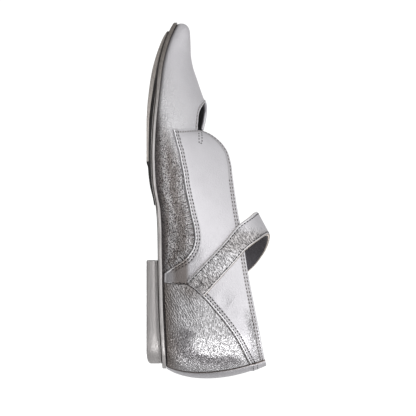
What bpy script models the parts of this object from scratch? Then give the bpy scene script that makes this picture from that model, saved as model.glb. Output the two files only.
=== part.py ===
"""Pointed flat shoe with an ankle strap, for the left foot, standing empty on its sole.

The tables are in millimetres: x runs from the heel back to the toe, y to the outer (lateral) side
and z up from the floor. The finished shoe is centred on the origin, in metres.
"""
import math

import bpy
import bmesh
import numpy as np

# Driving sizes, millimetres
MM = 0.001
UPPER_WALL = 1.6
OVERLAY_GAP = 0.3
OVERLAY_THICK = 0.9
LAYER_GAP = 0.3
SEAM_GAP = 0.4
OVERLAY_FOOT = 0.022
SOLE_MARGIN = 1.6
OUTSOLE_THICK = 2.6
INSOLE_THICK = 2.0
INSOLE_MARGIN = -2.4
TREAD_MARGIN = 0.8
HALF_SOLE_MARGIN = 1.2
TREAD_REAR_X = 128.0
HALF_SOLE_REAR_X = 160.0
HALF_SOLE_FRONT_X = 257.0
HEEL_MARGIN = -2.1
HEEL_BREAST_X = 87.2
HEEL_ROUND_X = 21.0
HEEL_ROUND_REACH = 10.4
HEEL_ROUND_RISE = 3.5
STRAP_THICK = 2.0
STRAP_STRANDS = 5
BINDING_WIDTH = 2.3
BINDING_SETBACK = 0.1
BINDING_THICK = 0.8
BINDING_END_X = 184.2

# Mesh fineness
STATION_SPACING = 6.5
WALL_ROWS = 10
OVERLAY_ROWS = 8
OVERLAY_STEPS = 2
SOLE_STATIONS = 44
STRAP_STEPS = 3
STRAP_ARCH_STEPS = 4
STRIP_COLUMNS = 6
SHARP_EDGE_DEG = 40

# Search for a place on the wall
SEARCH_STATIONS = 70
SEARCH_HEIGHTS = 24
SEARCH_ROUNDS = 12
HALVINGS = 50

# One row per station of the last, from the toe tip round either side to the heel back.
# base: the feather line where wall meets sole.  top: toe ridge, then throat rim, tab and collar edge.
# flare and rise: how the wall leaves the sole.  spread and drop: how it meets the top.
# aim: plan direction of the spread in degrees, 0 forward, 90 sideways, 180 backward.
STATION_COLUMNS = ("base_x", "base_lat", "base_med", "top_x", "top_lat", "top_med", "z_lat", "z_med",
                   "flare", "rise", "spread", "drop", "aim")
STATIONS = (
    (262.1, -6.0, -6.0, 255.0, -6.0, -6.0, 32.4, 32.4, 2.4, 4.7, 7.5, 0.2, 0),
    (260.1, -1.9, -10.1, 252.0, -6.0, -6.0, 32.6, 32.6, 2.1, 5.6, 7.5, 0.2, 50),
    (254.2, 2.9, -13.8, 247.5, -6.0, -6.0, 32.8, 32.8, 1.8, 7.0, 8.0, 0.2, 78),
    (245.0, 8.8, -18.9, 240.5, -6.0, -6.0, 33.0, 33.0, 1.5, 8.0, 9.0, 0.2, 90),
    (232.0, 16.0, -24.1, 231.5, -5.8, -5.8, 34.4, 34.4, 1.8, 10.0, 11.0, 0.3, 90),
    (218.0, 23.4, -28.9, 221.5, -5.4, -5.4, 37.6, 37.6, 2.0, 12.0, 13.0, 0.5, 90),
    (206.0, 29.4, -32.0, 212.5, -4.6, -4.6, 40.6, 40.6, 2.2, 12.5, 16.0, 1.0, 90),
    (197.0, 32.7, -33.7, 204.8, -3.5, -3.5, 43.4, 43.4, 2.4, 13.0, 19.5, 2.0, 90),
    (190.0, 35.3, -34.9, 199.0, 7.0, -12.5, 40.4, 44.4, 2.5, 13.0, 13.0, 4.0, 90),
    (182.0, 37.0, -35.3, 190.5, 10.6, -14.0, 39.0, 43.4, 2.6, 13.0, 13.0, 5.0, 90),
    (176.5, 37.6, -35.3, 183.6, 11.1, -13.2, 39.3, 42.2, 2.8, 13.5, 13.0, 6.0, 90),
    (173.5, 37.8, -35.2, 181.7, 10.8, -12.6, 42.4, 43.6, 2.8, 14.0, 13.0, 6.8, 90),
    (169.5, 37.8, -34.9, 179.2, 10.2, -11.6, 47.8, 48.2, 3.0, 14.0, 13.0, 8.5, 90),
    (165.0, 37.6, -34.3, 174.7, 9.6, -10.8, 53.8, 53.8, 3.0, 15.0, 12.5, 10.0, 90),
    (159.5, 37.0, -33.2, 168.4, 9.3, -10.3, 58.8, 58.8, 3.0, 15.0, 12.0, 11.0, 90),
    (152.0, 35.6, -31.4, 160.2, 10.0, -10.6, 61.7, 61.7, 3.2, 16.0, 11.0, 12.5, 90),
    (140.0, 32.6, -27.3, 148.0, 12.2, -12.4, 63.5, 63.5, 3.5, 17.0, 9.0, 15.0, 90),
    (122.0, 29.3, -22.8, 127.0, 16.2, -16.2, 66.5, 66.5, 4.0, 18.0, 7.0, 17.0, 90),
    (100.0, 26.4, -20.9, 101.0, 20.5, -20.3, 71.1, 71.1, 4.5, 20.0, 5.5, 20.0, 90),
    (76.0, 25.4, -22.8, 75.5, 23.2, -22.8, 75.1, 75.1, 4.5, 22.0, 5.0, 23.0, 90),
    (50.0, 25.2, -24.3, 49.0, 22.6, -22.4, 80.2, 80.2, 5.0, 21.0, 5.5, 25.0, 92),
    (32.0, 23.6, -23.2, 32.0, 18.8, -18.8, 83.7, 83.7, 6.0, 20.0, 7.0, 26.0, 105),
    (18.2, 18.1, -17.9, 19.4, 12.2, -12.2, 86.1, 86.1, 8.0, 18.0, 9.0, 26.0, 130),
    (11.2, 10.6, -10.6, 12.8, 6.4, -6.4, 87.6, 87.6, 10.0, 16.0, 11.0, 26.0, 157),
    (8.8, 0.0, 0.0, 10.9, 0.0, 0.0, 88.0, 88.0, 11.4, 15.3, 12.2, 26.0, 180),
)
APEX = 7

# Height of the feather line and of the underside of the tread along the shoe
FEATHER_LINE = ((6.0, 14.9), (30.0, 13.2), (58.0, 11.9), (90.0, 11.3), (112.0, 10.9), (125.3, 10.0),
                (134.0, 8.4), (143.8, 6.9), (163.0, 6.0), (178.0, 6.4), (191.0, 7.2), (208.6, 9.1),
                (219.0, 10.3), (229.4, 11.6), (239.8, 13.7), (250.0, 16.8), (258.5, 20.4), (264.0, 23.4))
TREAD_LINE = ((127.0, 5.9), (133.4, 4.8), (142.3, 2.7), (151.2, 1.5), (157.0, 1.0), (160.0, 0.0),
              (187.0, 0.0), (200.0, 0.6), (208.9, 1.5), (217.8, 2.6), (226.7, 4.1), (235.5, 6.3),
              (244.4, 9.2), (253.3, 13.0), (258.0, 16.0))

# Share of the depth under the outsole that the half sole takes, the tread layer having the rest
HALF_SOLE_SHARE = ((160.0, 0.5), (190.0, 0.47), (212.0, 0.6), (235.0, 0.74), (245.0, 0.7), (251.0, 0.62),
                   (257.0, 0.5))

# Seams in side view.  SOLE stands for the feather line.
SOLE = None
QUARTER_SEAM = ((183.4, 19.0), (180.0, 20.0), (175.5, 21.2), (169.5, 22.8), (161.5, 24.6), (150.1, 26.9),
                (125.0, 31.5), (111.9, 34.6), (105.2, 35.4), (97.3, 34.1), (89.4, 28.8), (82.0, 18.2),
                (77.9, SOLE))
QUARTER_EDGE_X = (182.3, 180.4, 176.5, 170.5, 162.0, 150.0, 128.0, 115.0, 108.0, 100.0, 92.0, 85.0, 80.0)
COUNTER_SEAM = ((71.1, SOLE), (70.2, 20.0), (70.0, 28.8), (60.2, 41.6), (52.4, 48.6), (44.6, 55.1),
                (32.6, 64.2), (22.0, 70.2), (15.0, 73.8))
COUNTER_EDGE_X = (75.0, 72.0, 68.5, 60.5, 52.5, 45.0, 32.5, 23.0, 16.5)
COUNTER_FRONT = 2
COUNTER_SOLE_X = (71.1, 64.0, 54.0, 44.0, 32.0, 21.0, 14.5)
STRIP_BASE_X = 10.6
STRIP_TOP_X = 14.6
STRIP_SEAM_RISE = 0.02

# Strap, front and rear edge in side view where it lies on each wall, and its free arch between.
STRAP_LATERAL = (((72.4, 29.8), (61.4, 42.6)), ((82.8, 39.6), (69.6, 49.8)), ((93.4, 49.8), (78.0, 57.4)),
                 ((102.6, 58.2), (85.5, 64.2)), ((111.5, 65.4), (92.6, 70.2)))
STRAP_ARCH = (((118.4, 17.4, 74.2), (101.0, 18.6, 80.6)), ((122.4, -1.0, 80.4), (105.2, -1.0, 89.7)),
              ((110.5, -18.0, 76.6), (92.0, -19.4, 87.2)), ((100.8, -22.4, 71.8), (82.8, -24.4, 80.8)))
STRAP_MEDIAL = (((92.0, 67.2), (75.8, 73.4)), ((78.5, 57.3), (66.0, 67.0)), ((68.2, 50.2), (56.6, 60.4)),
                ((58.9, 43.9), (47.7, 54.2)))

# Surface colours: base colour, roughness, metallic
SILVER_SMOOTH = ((0.66, 0.65, 0.68), 0.34, 0.85)
SILVER_CRACKLED = ((0.56, 0.55, 0.58), 0.30, 0.85)
LINING_GREY = ((0.055, 0.052, 0.062), 0.75, 0.0)
EDGE_GREY = ((0.38, 0.36, 0.35), 0.42, 0.35)
TREAD_BLACK = ((0.012, 0.011, 0.011), 0.62, 0.0)
HALF_SOLE_GREY = ((0.40, 0.34, 0.32), 0.60, 0.0)


def column(name):
    """One named column of the station table."""
    index = STATION_COLUMNS.index(name)
    return np.array([row[index] for row in STATIONS], dtype=float)


def slopes_monotone(xs, ys):
    """Slopes for a curve through the points that never overshoots them."""
    steps = np.diff(xs)
    rises = np.diff(ys) / steps
    slopes = np.zeros(len(xs))
    slopes[0], slopes[-1] = rises[0], rises[-1]
    for i in range(1, len(xs) - 1):
        if rises[i - 1] * rises[i] > 0:
            before, after = 2 * steps[i] + steps[i - 1], steps[i] + 2 * steps[i - 1]
            slopes[i] = (before + after) / (before / rises[i - 1] + after / rises[i])
    return slopes


def slopes_closed(xs, ys):
    """Slopes of a smooth closed curve whose last point repeats the first."""
    steps = np.diff(xs)
    rises = np.diff(ys) / steps
    before, after = np.roll(rises, 1), rises
    step_before, step_after = np.roll(steps, 1), steps
    slopes = (before * step_after + after * step_before) / (step_before + step_after)
    return np.append(slopes, slopes[0])


def slopes_open(xs, ys):
    """Slopes of a smooth open curve."""
    return np.gradient(np.asarray(ys, dtype=float), np.asarray(xs, dtype=float))


class Curve:
    """A cubic curve through the points (xs, ys)."""

    def __init__(self, xs, ys, slopes):
        self.xs = np.asarray(xs, dtype=float)
        self.ys = np.asarray(ys, dtype=float)
        self.slopes = slopes(self.xs, self.ys)

    def __call__(self, x):
        i = int(np.clip(np.searchsorted(self.xs, x) - 1, 0, len(self.xs) - 2))
        step = self.xs[i + 1] - self.xs[i]
        t = min(max((x - self.xs[i]) / step, 0.0), 1.0)
        rest = 1.0 - t
        return (self.ys[i] * rest * rest * (1 + 2 * t) + self.slopes[i] * step * t * rest * rest
                + self.ys[i + 1] * t * t * (3 - 2 * t) - self.slopes[i + 1] * step * t * t * rest)


def loop_curve(knots, lateral, medial):
    """A closed curve: out along the lateral side, back along the medial side."""
    xs = np.concatenate([knots, 2 * knots[-1] - knots[:-1][::-1]])
    return Curve(xs, np.concatenate([lateral, medial[:-1][::-1]]), slopes_closed)


def station_knots():
    """Position of each station round the shoe, 0 at the toe tip and 1 at the heel back."""
    lateral = np.hypot(np.diff(column("base_x")), np.diff(column("base_lat")))
    medial = np.hypot(np.diff(column("base_x")), np.diff(column("base_med")))
    along = np.concatenate([[0.0], np.cumsum(lateral + medial)])
    return along / along[-1]


KNOTS = station_knots()
BASE_X = loop_curve(KNOTS, column("base_x"), column("base_x"))
BASE_Y = loop_curve(KNOTS, column("base_lat"), column("base_med"))
RIM_X = loop_curve(KNOTS[APEX:], column("top_x")[APEX:], column("top_x")[APEX:])
RIM_Y = loop_curve(KNOTS[APEX:], column("top_lat")[APEX:], column("top_med")[APEX:])
RIM_Z = loop_curve(KNOTS[APEX:], column("z_lat")[APEX:], column("z_med")[APEX:])
RIDGE = [Curve(KNOTS[:APEX + 1], column(name)[:APEX + 1], slopes_monotone)
         for name in ("top_x", "top_lat", "z_lat")]
HANDLES = [Curve(KNOTS, column(name), slopes_monotone)
           for name in ("flare", "rise", "spread", "drop", "aim")]
FEATHER_Z = Curve([x for x, z in FEATHER_LINE], [z for x, z in FEATHER_LINE], slopes_monotone)
TREAD_Z = Curve([x for x, z in TREAD_LINE], [z for x, z in TREAD_LINE], slopes_monotone)
HALF_SHARE = Curve([x for x, part in HALF_SOLE_SHARE], [part for x, part in HALF_SOLE_SHARE], slopes_monotone)
APEX_PLACE = KNOTS[APEX]


def outline(place, margin=0.0):
    """Feather line in plan, moved outwards by the margin.  place: 0 to 1 lateral, 1 to 2 medial."""
    step = 1e-4
    ahead, behind = (place + step) % 2, (place - step) % 2
    along = np.array([BASE_X(ahead) - BASE_X(behind), BASE_Y(ahead) - BASE_Y(behind)])
    along /= np.linalg.norm(along)
    normal = np.array([along[1], -along[0]])
    return np.array([BASE_X(place), BASE_Y(place)]) + margin * normal, normal


def top_point(place):
    """Toe ridge in front of the throat, free edge behind it."""
    station = place if place <= 1 else 2 - place
    if station <= APEX_PLACE:
        return np.array([part(station) for part in RIDGE])
    return np.array([RIM_X(place), RIM_Y(place), RIM_Z(place)])


def wall(place, height):
    """Outside of the upper.  height: 0 at the feather line, 1 at the ridge or free edge."""
    station = place if place <= 1 else 2 - place
    side = 1.0 if place <= 1 else -1.0
    flare, rise, spread, drop, aim = [handle(station) for handle in HANDLES]
    plan, normal = outline(place)
    angle = math.radians(aim)
    start = np.array([plan[0], plan[1], FEATHER_Z(plan[0])])
    end = top_point(place)
    leave = start + np.array([flare * normal[0], flare * normal[1], rise])
    arrive = end + np.array([spread * math.cos(angle), side * spread * math.sin(angle), -drop])
    rest = 1.0 - height
    return (start * rest ** 3 + 3 * leave * height * rest ** 2
            + 3 * arrive * height ** 2 * rest + end * height ** 3)


def wall_normal(place, height):
    """Outward direction of the upper's outside."""
    step = 1e-3
    low, high = max(height - step, 0.0), min(height + step, 1.0)
    left, right = max(place - step, 0.0), min(place + step, 2.0)
    normal = np.cross(wall(right, height) - wall(left, height), wall(place, high) - wall(place, low))
    return normal / np.linalg.norm(normal)


def station_at(value, measure, first, last):
    """Station between first and last where a falling measure reaches the value."""
    for _ in range(HALVINGS):
        middle = 0.5 * (first + last)
        if measure(middle) > value:
            first = middle
        else:
            last = middle
    return 0.5 * (first + last)


class Side:
    """Finds places on one side of the wall from their position in side view."""

    def __init__(self, medial):
        self.medial = medial
        stations = np.linspace(0.02, 0.995, SEARCH_STATIONS)
        heights = np.linspace(0.0, 1.0, SEARCH_HEIGHTS)
        self.marks = [(station, height) for station in stations for height in heights]
        self.seen = np.array([self.point(*mark)[[0, 2]] for mark in self.marks])

    def place(self, station):
        return 2.0 - station if self.medial else station

    def point(self, station, height):
        return wall(self.place(station), height)

    def find(self, x, z):
        """Station and height of the wall point seen at (x, z)."""
        nearest = int(np.argmin(np.sum((self.seen - (x, z)) ** 2, axis=1)))
        spot = np.array(self.marks[nearest])
        step = 1e-4
        for _ in range(SEARCH_ROUNDS):
            here = self.point(*spot)[[0, 2]]
            slope = np.column_stack([(self.point(spot[0] + step, spot[1])[[0, 2]] - here) / step,
                                     (self.point(spot[0], spot[1] + step)[[0, 2]] - here) / step])
            spot = spot + np.linalg.solve(slope, np.array([x, z]) - here)
            spot = np.clip(spot, (0.01, 0.0), (0.999, 0.999))
        return spot

    def at_sole(self, x):
        return np.array([station_at(x, lambda u: self.point(u, 0.0)[0], 0.0, 1.0), OVERLAY_FOOT])

    def at_edge(self, x):
        return np.array([station_at(x, lambda u: self.point(u, 1.0)[0], APEX_PLACE, 1.0), 1.0])

    def strip_edge(self, height):
        """Station of the back strip's edge at a height."""
        base, top = self.at_sole(STRIP_BASE_X)[0], self.at_edge(STRIP_TOP_X)[0]
        return base + (top - base) * height


def add_object(name, points, faces, finish):
    """A closed mesh object with its faces turned outwards and its own material."""
    mesh = bpy.data.meshes.new(name)
    mesh.from_pydata([tuple(MM * c for c in point) for point in points], [], faces)
    shell = bmesh.new()
    shell.from_mesh(mesh)
    bmesh.ops.recalc_face_normals(shell, faces=shell.faces)
    shell.to_mesh(mesh)
    shell.free()
    mesh.shade_smooth()
    mesh.set_sharp_from_angle(angle=math.radians(SHARP_EDGE_DEG))
    colour, roughness, metallic = finish
    material = bpy.data.materials.new(name)
    material.use_nodes = True
    shader = material.node_tree.nodes["Principled BSDF"]
    shader.inputs["Base Color"].default_value = (*colour, 1.0)
    shader.inputs["Roughness"].default_value = roughness
    shader.inputs["Metallic"].default_value = metallic
    mesh.materials.append(material)
    part = bpy.data.objects.new(name, mesh)
    bpy.context.scene.collection.objects.link(part)
    return part


def slab(name, outside, inside, finish):
    """Solid between two grids of points with the same rows and columns."""
    rows, columns = len(outside), len(outside[0])
    points = [p for row in outside for p in row] + [p for row in inside for p in row]
    under = rows * columns

    def corner(i, j, layer):
        return i * columns + j + layer * under

    faces = []
    for i in range(rows - 1):
        for j in range(columns - 1):
            square = ((i, j), (i + 1, j), (i + 1, j + 1), (i, j + 1))
            faces.append([corner(m, n, 0) for m, n in square])
            faces.append([corner(m, n, 1) for m, n in square[:1] + square[:0:-1]])
    border = [(i, 0) for i in range(rows)] + [(rows - 1, j) for j in range(1, columns)]
    border += [(i, columns - 1) for i in range(rows - 2, -1, -1)]
    border += [(0, j) for j in range(columns - 2, 0, -1)]
    for (i, j), (m, n) in zip(border, border[1:] + border[:1]):
        faces.append([corner(i, j, 0), corner(i, j, 1), corner(m, n, 1), corner(m, n, 0)])
    return add_object(name, points, faces, finish)


def upper_stations():
    """Stations of the upper's mesh on one side, close enough together for its curves."""
    stations = []
    for i in range(len(KNOTS) - 1):
        ends = KNOTS[i], KNOTS[i + 1]
        reach = max(np.linalg.norm(wall(ends[1], k) - wall(ends[0], k)) for k in (0.0, 0.5, 1.0))
        pieces = max(1, math.ceil(reach / STATION_SPACING))
        stations += [ends[0] + (ends[1] - ends[0]) * n / pieces for n in range(pieces)]
    return stations + [1.0]


def upper_shell():
    """Outside of the upper as points, quads and the two open loops: feather line and free edge."""
    stations = upper_stations()
    heights = [row / WALL_ROWS for row in range(WALL_ROWS + 1)]
    points, index = [], {}
    last = len(stations) - 1
    for medial in (False, True):
        for i, station in enumerate(stations):
            for j, height in enumerate(heights):
                on_ridge = j == WALL_ROWS and station <= APEX_PLACE + 1e-9
                if medial and (i in (0, last) or on_ridge):
                    index[True, i, j] = index[False, i, j]
                    continue
                index[medial, i, j] = len(points)
                points.append(wall(2.0 - station if medial else station, height))
    faces = []
    for medial in (False, True):
        for i in range(last):
            for j in range(WALL_ROWS):
                quad = [index[medial, i, j], index[medial, i + 1, j],
                        index[medial, i + 1, j + 1], index[medial, i, j + 1]]
                faces.append(quad[::-1] if medial else quad)
    apex = max(i for i, station in enumerate(stations) if station <= APEX_PLACE + 1e-9)
    loops = []
    for row, first in ((0, 0), (WALL_ROWS, apex)):
        loop = [index[False, i, row] for i in range(first, last + 1)]
        loop += [index[True, i, row] for i in range(last - 1, first, -1)]
        loops.append(loop)
    return np.array(points), faces, loops


def point_normals(points, faces):
    """Outward direction at each point of a shell of quads."""
    normals = np.zeros_like(points)
    for quad in faces:
        a, b, c, d = points[quad]
        normals[quad] += np.cross(c - a, d - b)
    return normals / np.linalg.norm(normals, axis=1)[:, None]


def make_upper():
    """The hollow upper: its outside, an inside one wall thickness in, and the two rims."""
    points, faces, loops = upper_shell()
    inside = points - UPPER_WALL * point_normals(points, faces)
    count = len(points)
    solid = [list(quad) for quad in faces]
    solid += [[corner + count for corner in quad[::-1]] for quad in faces]
    for loop in loops:
        for a, b in zip(loop, loop[1:] + loop[:1]):
            solid.append([a, b, b + count, a + count])
    return add_object("upper", np.concatenate([points, inside]), solid, SILVER_CRACKLED)


def trace(spots):
    """A smooth row of places on the wall through the given ones, with steps between."""
    ticks = np.arange(len(spots))
    tracks = [Curve(ticks, [spot[axis] for spot in spots], slopes_monotone) for axis in (0, 1)]
    steps = np.linspace(0, len(spots) - 1, (len(spots) - 1) * OVERLAY_STEPS + 1)
    return [np.array([track(step) for track in tracks]) for step in steps]


def seam_spots(side, seam):
    """Places on the wall of a seam's rows."""
    return [side.at_sole(x) if z is SOLE else side.find(x, z) for x, z in seam]


def shift_seam(side, spots, distance):
    """A row of places moved towards the toe and the collar, in side view."""
    seen = np.array([side.point(*spot)[[0, 2]] for spot in spots])
    along = np.gradient(seen, axis=0)
    along /= np.linalg.norm(along, axis=1)[:, None]
    shifted = seen + distance * np.column_stack([along[:, 1], -along[:, 0]])
    foot = [side.at_sole(shifted[0][0])]
    return foot + [side.find(x, z) for x, z in shifted[1:]]


def overlay(name, side, lower, upper, finish, front=None):
    """A panel over the wall between two rows of places.  front: its first column, if that is curved."""
    shares = np.linspace(0.0, 1.0, OVERLAY_ROWS + 1)
    outside, inside = [], []
    for i, (low, high) in enumerate(zip(lower, upper)):
        spots = front if i == 0 and front else [low + (high - low) * share for share in shares]
        points = [side.point(*spot) for spot in spots]
        normals = [wall_normal(side.place(station), height) for station, height in spots]
        inside.append([p + OVERLAY_GAP * n for p, n in zip(points, normals)])
        outside.append([p + (OVERLAY_GAP + OVERLAY_THICK) * n for p, n in zip(points, normals)])
    return slab(name, outside, inside, finish)


def strip_end(side, height):
    """Where a side panel stops, just short of the back strip."""
    near, far = 0.97, 0.98
    run = np.linalg.norm(side.point(far, 0.5) - side.point(near, 0.5))
    return np.array([side.strip_edge(height) - SEAM_GAP * (far - near) / run, height])


def make_quarter(name, side):
    """Smooth panel from the vamp to the back strip, with the free tab and collar as its top edge."""
    front = trace(seam_spots(side, QUARTER_SEAM))
    rear = shift_seam(side, trace(seam_spots(side, COUNTER_SEAM)), SEAM_GAP)
    foot = [0.5 * (front[-1] + rear[0])]
    end = [strip_end(side, rear[-1][1] + STRIP_SEAM_RISE)]
    edge_front = trace([side.at_edge(x) for x in QUARTER_EDGE_X])
    edge_rear = trace([side.at_edge(x) for x in COUNTER_EDGE_X])
    edge_foot = [0.5 * (edge_front[-1] + edge_rear[0])]
    edge_end = [strip_end(side, 1.0)]
    return overlay(name, side, front + foot + rear + end, edge_front + edge_foot + edge_rear + edge_end,
                   SILVER_SMOOTH)


def make_counter(name, side):
    """Crackled heel panel under the slanting seam."""
    seam = trace(seam_spots(side, COUNTER_SEAM))
    corner = COUNTER_FRONT * OVERLAY_STEPS
    ticks = np.linspace(0, corner, OVERLAY_ROWS + 1)
    front = [np.array([np.interp(tick, range(corner + 1), [spot[axis] for spot in seam[:corner + 1]])
                       for axis in (0, 1)]) for tick in ticks]
    upper = seam[corner:] + [strip_end(side, seam[-1][1] + STRIP_SEAM_RISE)]
    lower = trace([side.at_sole(x) for x in COUNTER_SOLE_X]) + [strip_end(side, OVERLAY_FOOT)]
    return overlay(name, side, lower, upper, SILVER_CRACKLED, front)


def make_back_strip(lateral, medial):
    """Strip over the heel seam, from the sole to the collar."""
    outside, inside = [], []
    for height in np.linspace(OVERLAY_FOOT, 1.0, 2 * OVERLAY_ROWS + 1):
        ends = lateral.strip_edge(height), 2.0 - medial.strip_edge(height)
        places = np.linspace(*ends, STRIP_COLUMNS + 1)
        normals = [wall_normal(place, height) for place in places]
        spots = [wall(place, height) for place in places]
        inside.append([spot + OVERLAY_GAP * n for spot, n in zip(spots, normals)])
        outside.append([spot + (OVERLAY_GAP + OVERLAY_THICK) * n for spot, n in zip(spots, normals)])
    return slab("back_strip", outside, inside, SILVER_SMOOTH)


def make_throat_binding():
    """Folded edge that lies on the wall round the keyhole throat."""
    points, faces, loops = upper_shell()
    normals = point_normals(points, faces)
    rim = loops[1]
    ring = points[rim]
    spots = [i for i in range(-len(rim) // 2, len(rim) // 2) if ring[i][0] > BINDING_END_X]
    outside, inside = [], []
    for i in spots:
        along = ring[(i + 1) % len(rim)] - ring[i - 1]
        normal = normals[rim[i]]
        across = np.cross(along, normal)
        across /= np.linalg.norm(across)
        lifted = ring[i] + OVERLAY_GAP * normal
        edges = [lifted + reach * across for reach in (BINDING_SETBACK, BINDING_WIDTH)]
        inside.append(edges)
        outside.append([edge + BINDING_THICK * normal for edge in edges])
    return slab("throat_binding", outside, inside, SILVER_SMOOTH)


def strap_rows(side, rows, share):
    """One strand of the strap where it lies on a quarter, share 0 at its front edge and 1 at its rear."""
    lift = 2 * OVERLAY_GAP + OVERLAY_THICK
    seen = [np.array(front) + share * (np.array(rear) - np.array(front)) for front, rear in rows]
    ticks = np.linspace(0, len(rows) - 1, (len(rows) - 1) * STRAP_STEPS + 1)
    spots = []
    for tick in ticks:
        x, z = [np.interp(tick, range(len(rows)), [spot[axis] for spot in seen]) for axis in (0, 1)]
        station, height = side.find(x, z)
        spots.append(side.point(station, height) + lift * wall_normal(side.place(station), height))
    return spots


def make_strap(lateral, medial):
    """Band from under one counter over the instep to the other, lying on the quarters."""
    inside = []
    for share in np.linspace(0.0, 1.0, STRAP_STRANDS):
        near = strap_rows(lateral, STRAP_LATERAL, share)
        arch = [np.array(front) + share * (np.array(rear) - np.array(front)) for front, rear in STRAP_ARCH]
        far = strap_rows(medial, STRAP_MEDIAL, share)
        knots = near + arch + far
        along = np.concatenate([[0.0], np.cumsum(np.linalg.norm(np.diff(knots, axis=0), axis=1))])
        tracks = [Curve(along, [knot[axis] for knot in knots], slopes_open) for axis in range(3)]
        start, stop = along[len(near) - 1], along[len(near) + len(arch)]
        free = np.linspace(start, stop, (len(arch) + 1) * STRAP_ARCH_STEPS + 1)[1:-1]
        inside.append(near + [np.array([track(tick) for track in tracks]) for tick in free] + far)
    inside = np.array(inside)
    normals = np.cross(np.gradient(inside, axis=0), np.gradient(inside, axis=1))
    normals /= np.linalg.norm(normals, axis=2)[:, :, None]
    return slab("strap", inside + STRAP_THICK * normals, inside, SILVER_CRACKLED)


def edge_at(x, margin, medial):
    """Width of the sole on one side at x, with a margin round the feather line."""
    def place(station):
        return 2.0 - station if medial else station
    station = station_at(x, lambda u: outline(place(u), margin)[0][0], 0.0, 1.0)
    return outline(place(station), margin)[0][1]


def plate(name, margin, top, bottom, finish, rear=None, front=None):
    """A sole layer with the last's outline, between two heights along the shoe.

    rear and front: where it is cut straight across; without them it runs round the heel or the toe.
    """
    stations = np.linspace(0.0, 1.0, SOLE_STATIONS)
    xs = [outline(station, margin)[0][0] for station in stations]
    ends = [xs[-1] if rear is None else rear, xs[0] if front is None else front]
    inner = sorted(x for x in xs if ends[0] + 1.0 < x < ends[1] - 1.0)
    rows = [ends[0], *inner, ends[1]]
    points, left, right = [], [], []
    for x in rows:
        tip = (x == ends[0] and rear is None) or (x == ends[1] and front is None)
        widths = [outline(0.0 if x == ends[1] else 1.0, margin)[0][1]] if tip else [
            edge_at(x, margin, False), edge_at(x, margin, True)]
        left.append(len(points))
        right.append(len(points) + 2 * (len(widths) - 1))
        for y in widths:
            points += [np.array([x, y, top(x)]), np.array([x, y, bottom(x)])]
    faces = []
    for i in range(len(rows) - 1):
        a, b, c, d = left[i], left[i + 1], right[i + 1], right[i]
        for layer in (0, 1):
            corners = [a + layer, b + layer, c + layer, d + layer]
            faces.append(list(dict.fromkeys(corners)))
        faces.append([a, b, b + 1, a + 1])
        faces.append([d, c, c + 1, d + 1])
    for i in (0, len(rows) - 1):
        if left[i] != right[i]:
            faces.append([left[i], right[i], right[i] + 1, left[i] + 1])
    return add_object(name, points, faces, finish)


def outsole_top(x):
    return FEATHER_Z(x) - LAYER_GAP


def outsole_bottom(x):
    return outsole_top(x) - OUTSOLE_THICK


def half_sole_top(x):
    return TREAD_Z(x) + HALF_SHARE(x) * (outsole_bottom(x) - TREAD_Z(x)) - LAYER_GAP


def tread_bottom(x):
    return half_sole_top(x) + LAYER_GAP if x >= HALF_SOLE_REAR_X else TREAD_Z(x)


def heel_bottom(x):
    reach = min(max((HEEL_ROUND_X - x) / HEEL_ROUND_REACH, 0.0), 1.0)
    return HEEL_ROUND_RISE * (1.0 - math.sqrt(1.0 - reach * reach))


def make_sole():
    """Insole, outsole, tread layer, half sole and heel."""
    return [
        plate("insole", INSOLE_MARGIN, lambda x: FEATHER_Z(x) + INSOLE_THICK, FEATHER_Z, LINING_GREY),
        plate("outsole", SOLE_MARGIN, outsole_top, outsole_bottom, EDGE_GREY),
        plate("tread_layer", TREAD_MARGIN, lambda x: outsole_bottom(x) - LAYER_GAP, tread_bottom,
              TREAD_BLACK, TREAD_REAR_X, HALF_SOLE_FRONT_X),
        plate("half_sole", HALF_SOLE_MARGIN, half_sole_top, TREAD_Z, HALF_SOLE_GREY,
              HALF_SOLE_REAR_X, HALF_SOLE_FRONT_X),
        plate("heel", HEEL_MARGIN, lambda x: outsole_bottom(x) - LAYER_GAP, heel_bottom, EDGE_GREY,
              None, HEEL_BREAST_X),
    ]


def stand_on_origin(parts):
    """Hang every piece on one empty, placed so that the shoe's box is centred over the origin."""
    corners = np.array([vertex.co[:] for part in parts for vertex in part.data.vertices])
    low, high = corners.min(axis=0), corners.max(axis=0)
    shoe = bpy.data.objects.new("shoe", None)
    bpy.context.scene.collection.objects.link(shoe)
    shoe.location = (-0.5 * (low[0] + high[0]), -0.5 * (low[1] + high[1]), -low[2])
    for part in parts:
        part.parent = shoe


def main():
    for old in list(bpy.data.objects):
        bpy.data.objects.remove(old)
    lateral, medial = Side(False), Side(True)
    parts = [
        make_upper(),
        make_quarter("quarter_lateral", lateral),
        make_quarter("quarter_medial", medial),
        make_counter("counter_lateral", lateral),
        make_counter("counter_medial", medial),
        make_back_strip(lateral, medial),
        make_throat_binding(),
        make_strap(lateral, medial),
        *make_sole(),
    ]
    stand_on_origin(parts)


main()
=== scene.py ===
"""Pointed silver flat with an ankle strap: the leather, lining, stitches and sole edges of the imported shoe.

The tables are in millimetres: x runs from the heel back to the toe, y to the outer (lateral) side and
z up from the floor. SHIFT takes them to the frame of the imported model, which is in metres.
"""
import math

import bmesh
import bpy
import numpy as np
from bpy.props import FloatProperty, FloatVectorProperty, PointerProperty
from mathutils import Matrix, Vector
from mathutils.kdtree import KDTree


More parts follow.
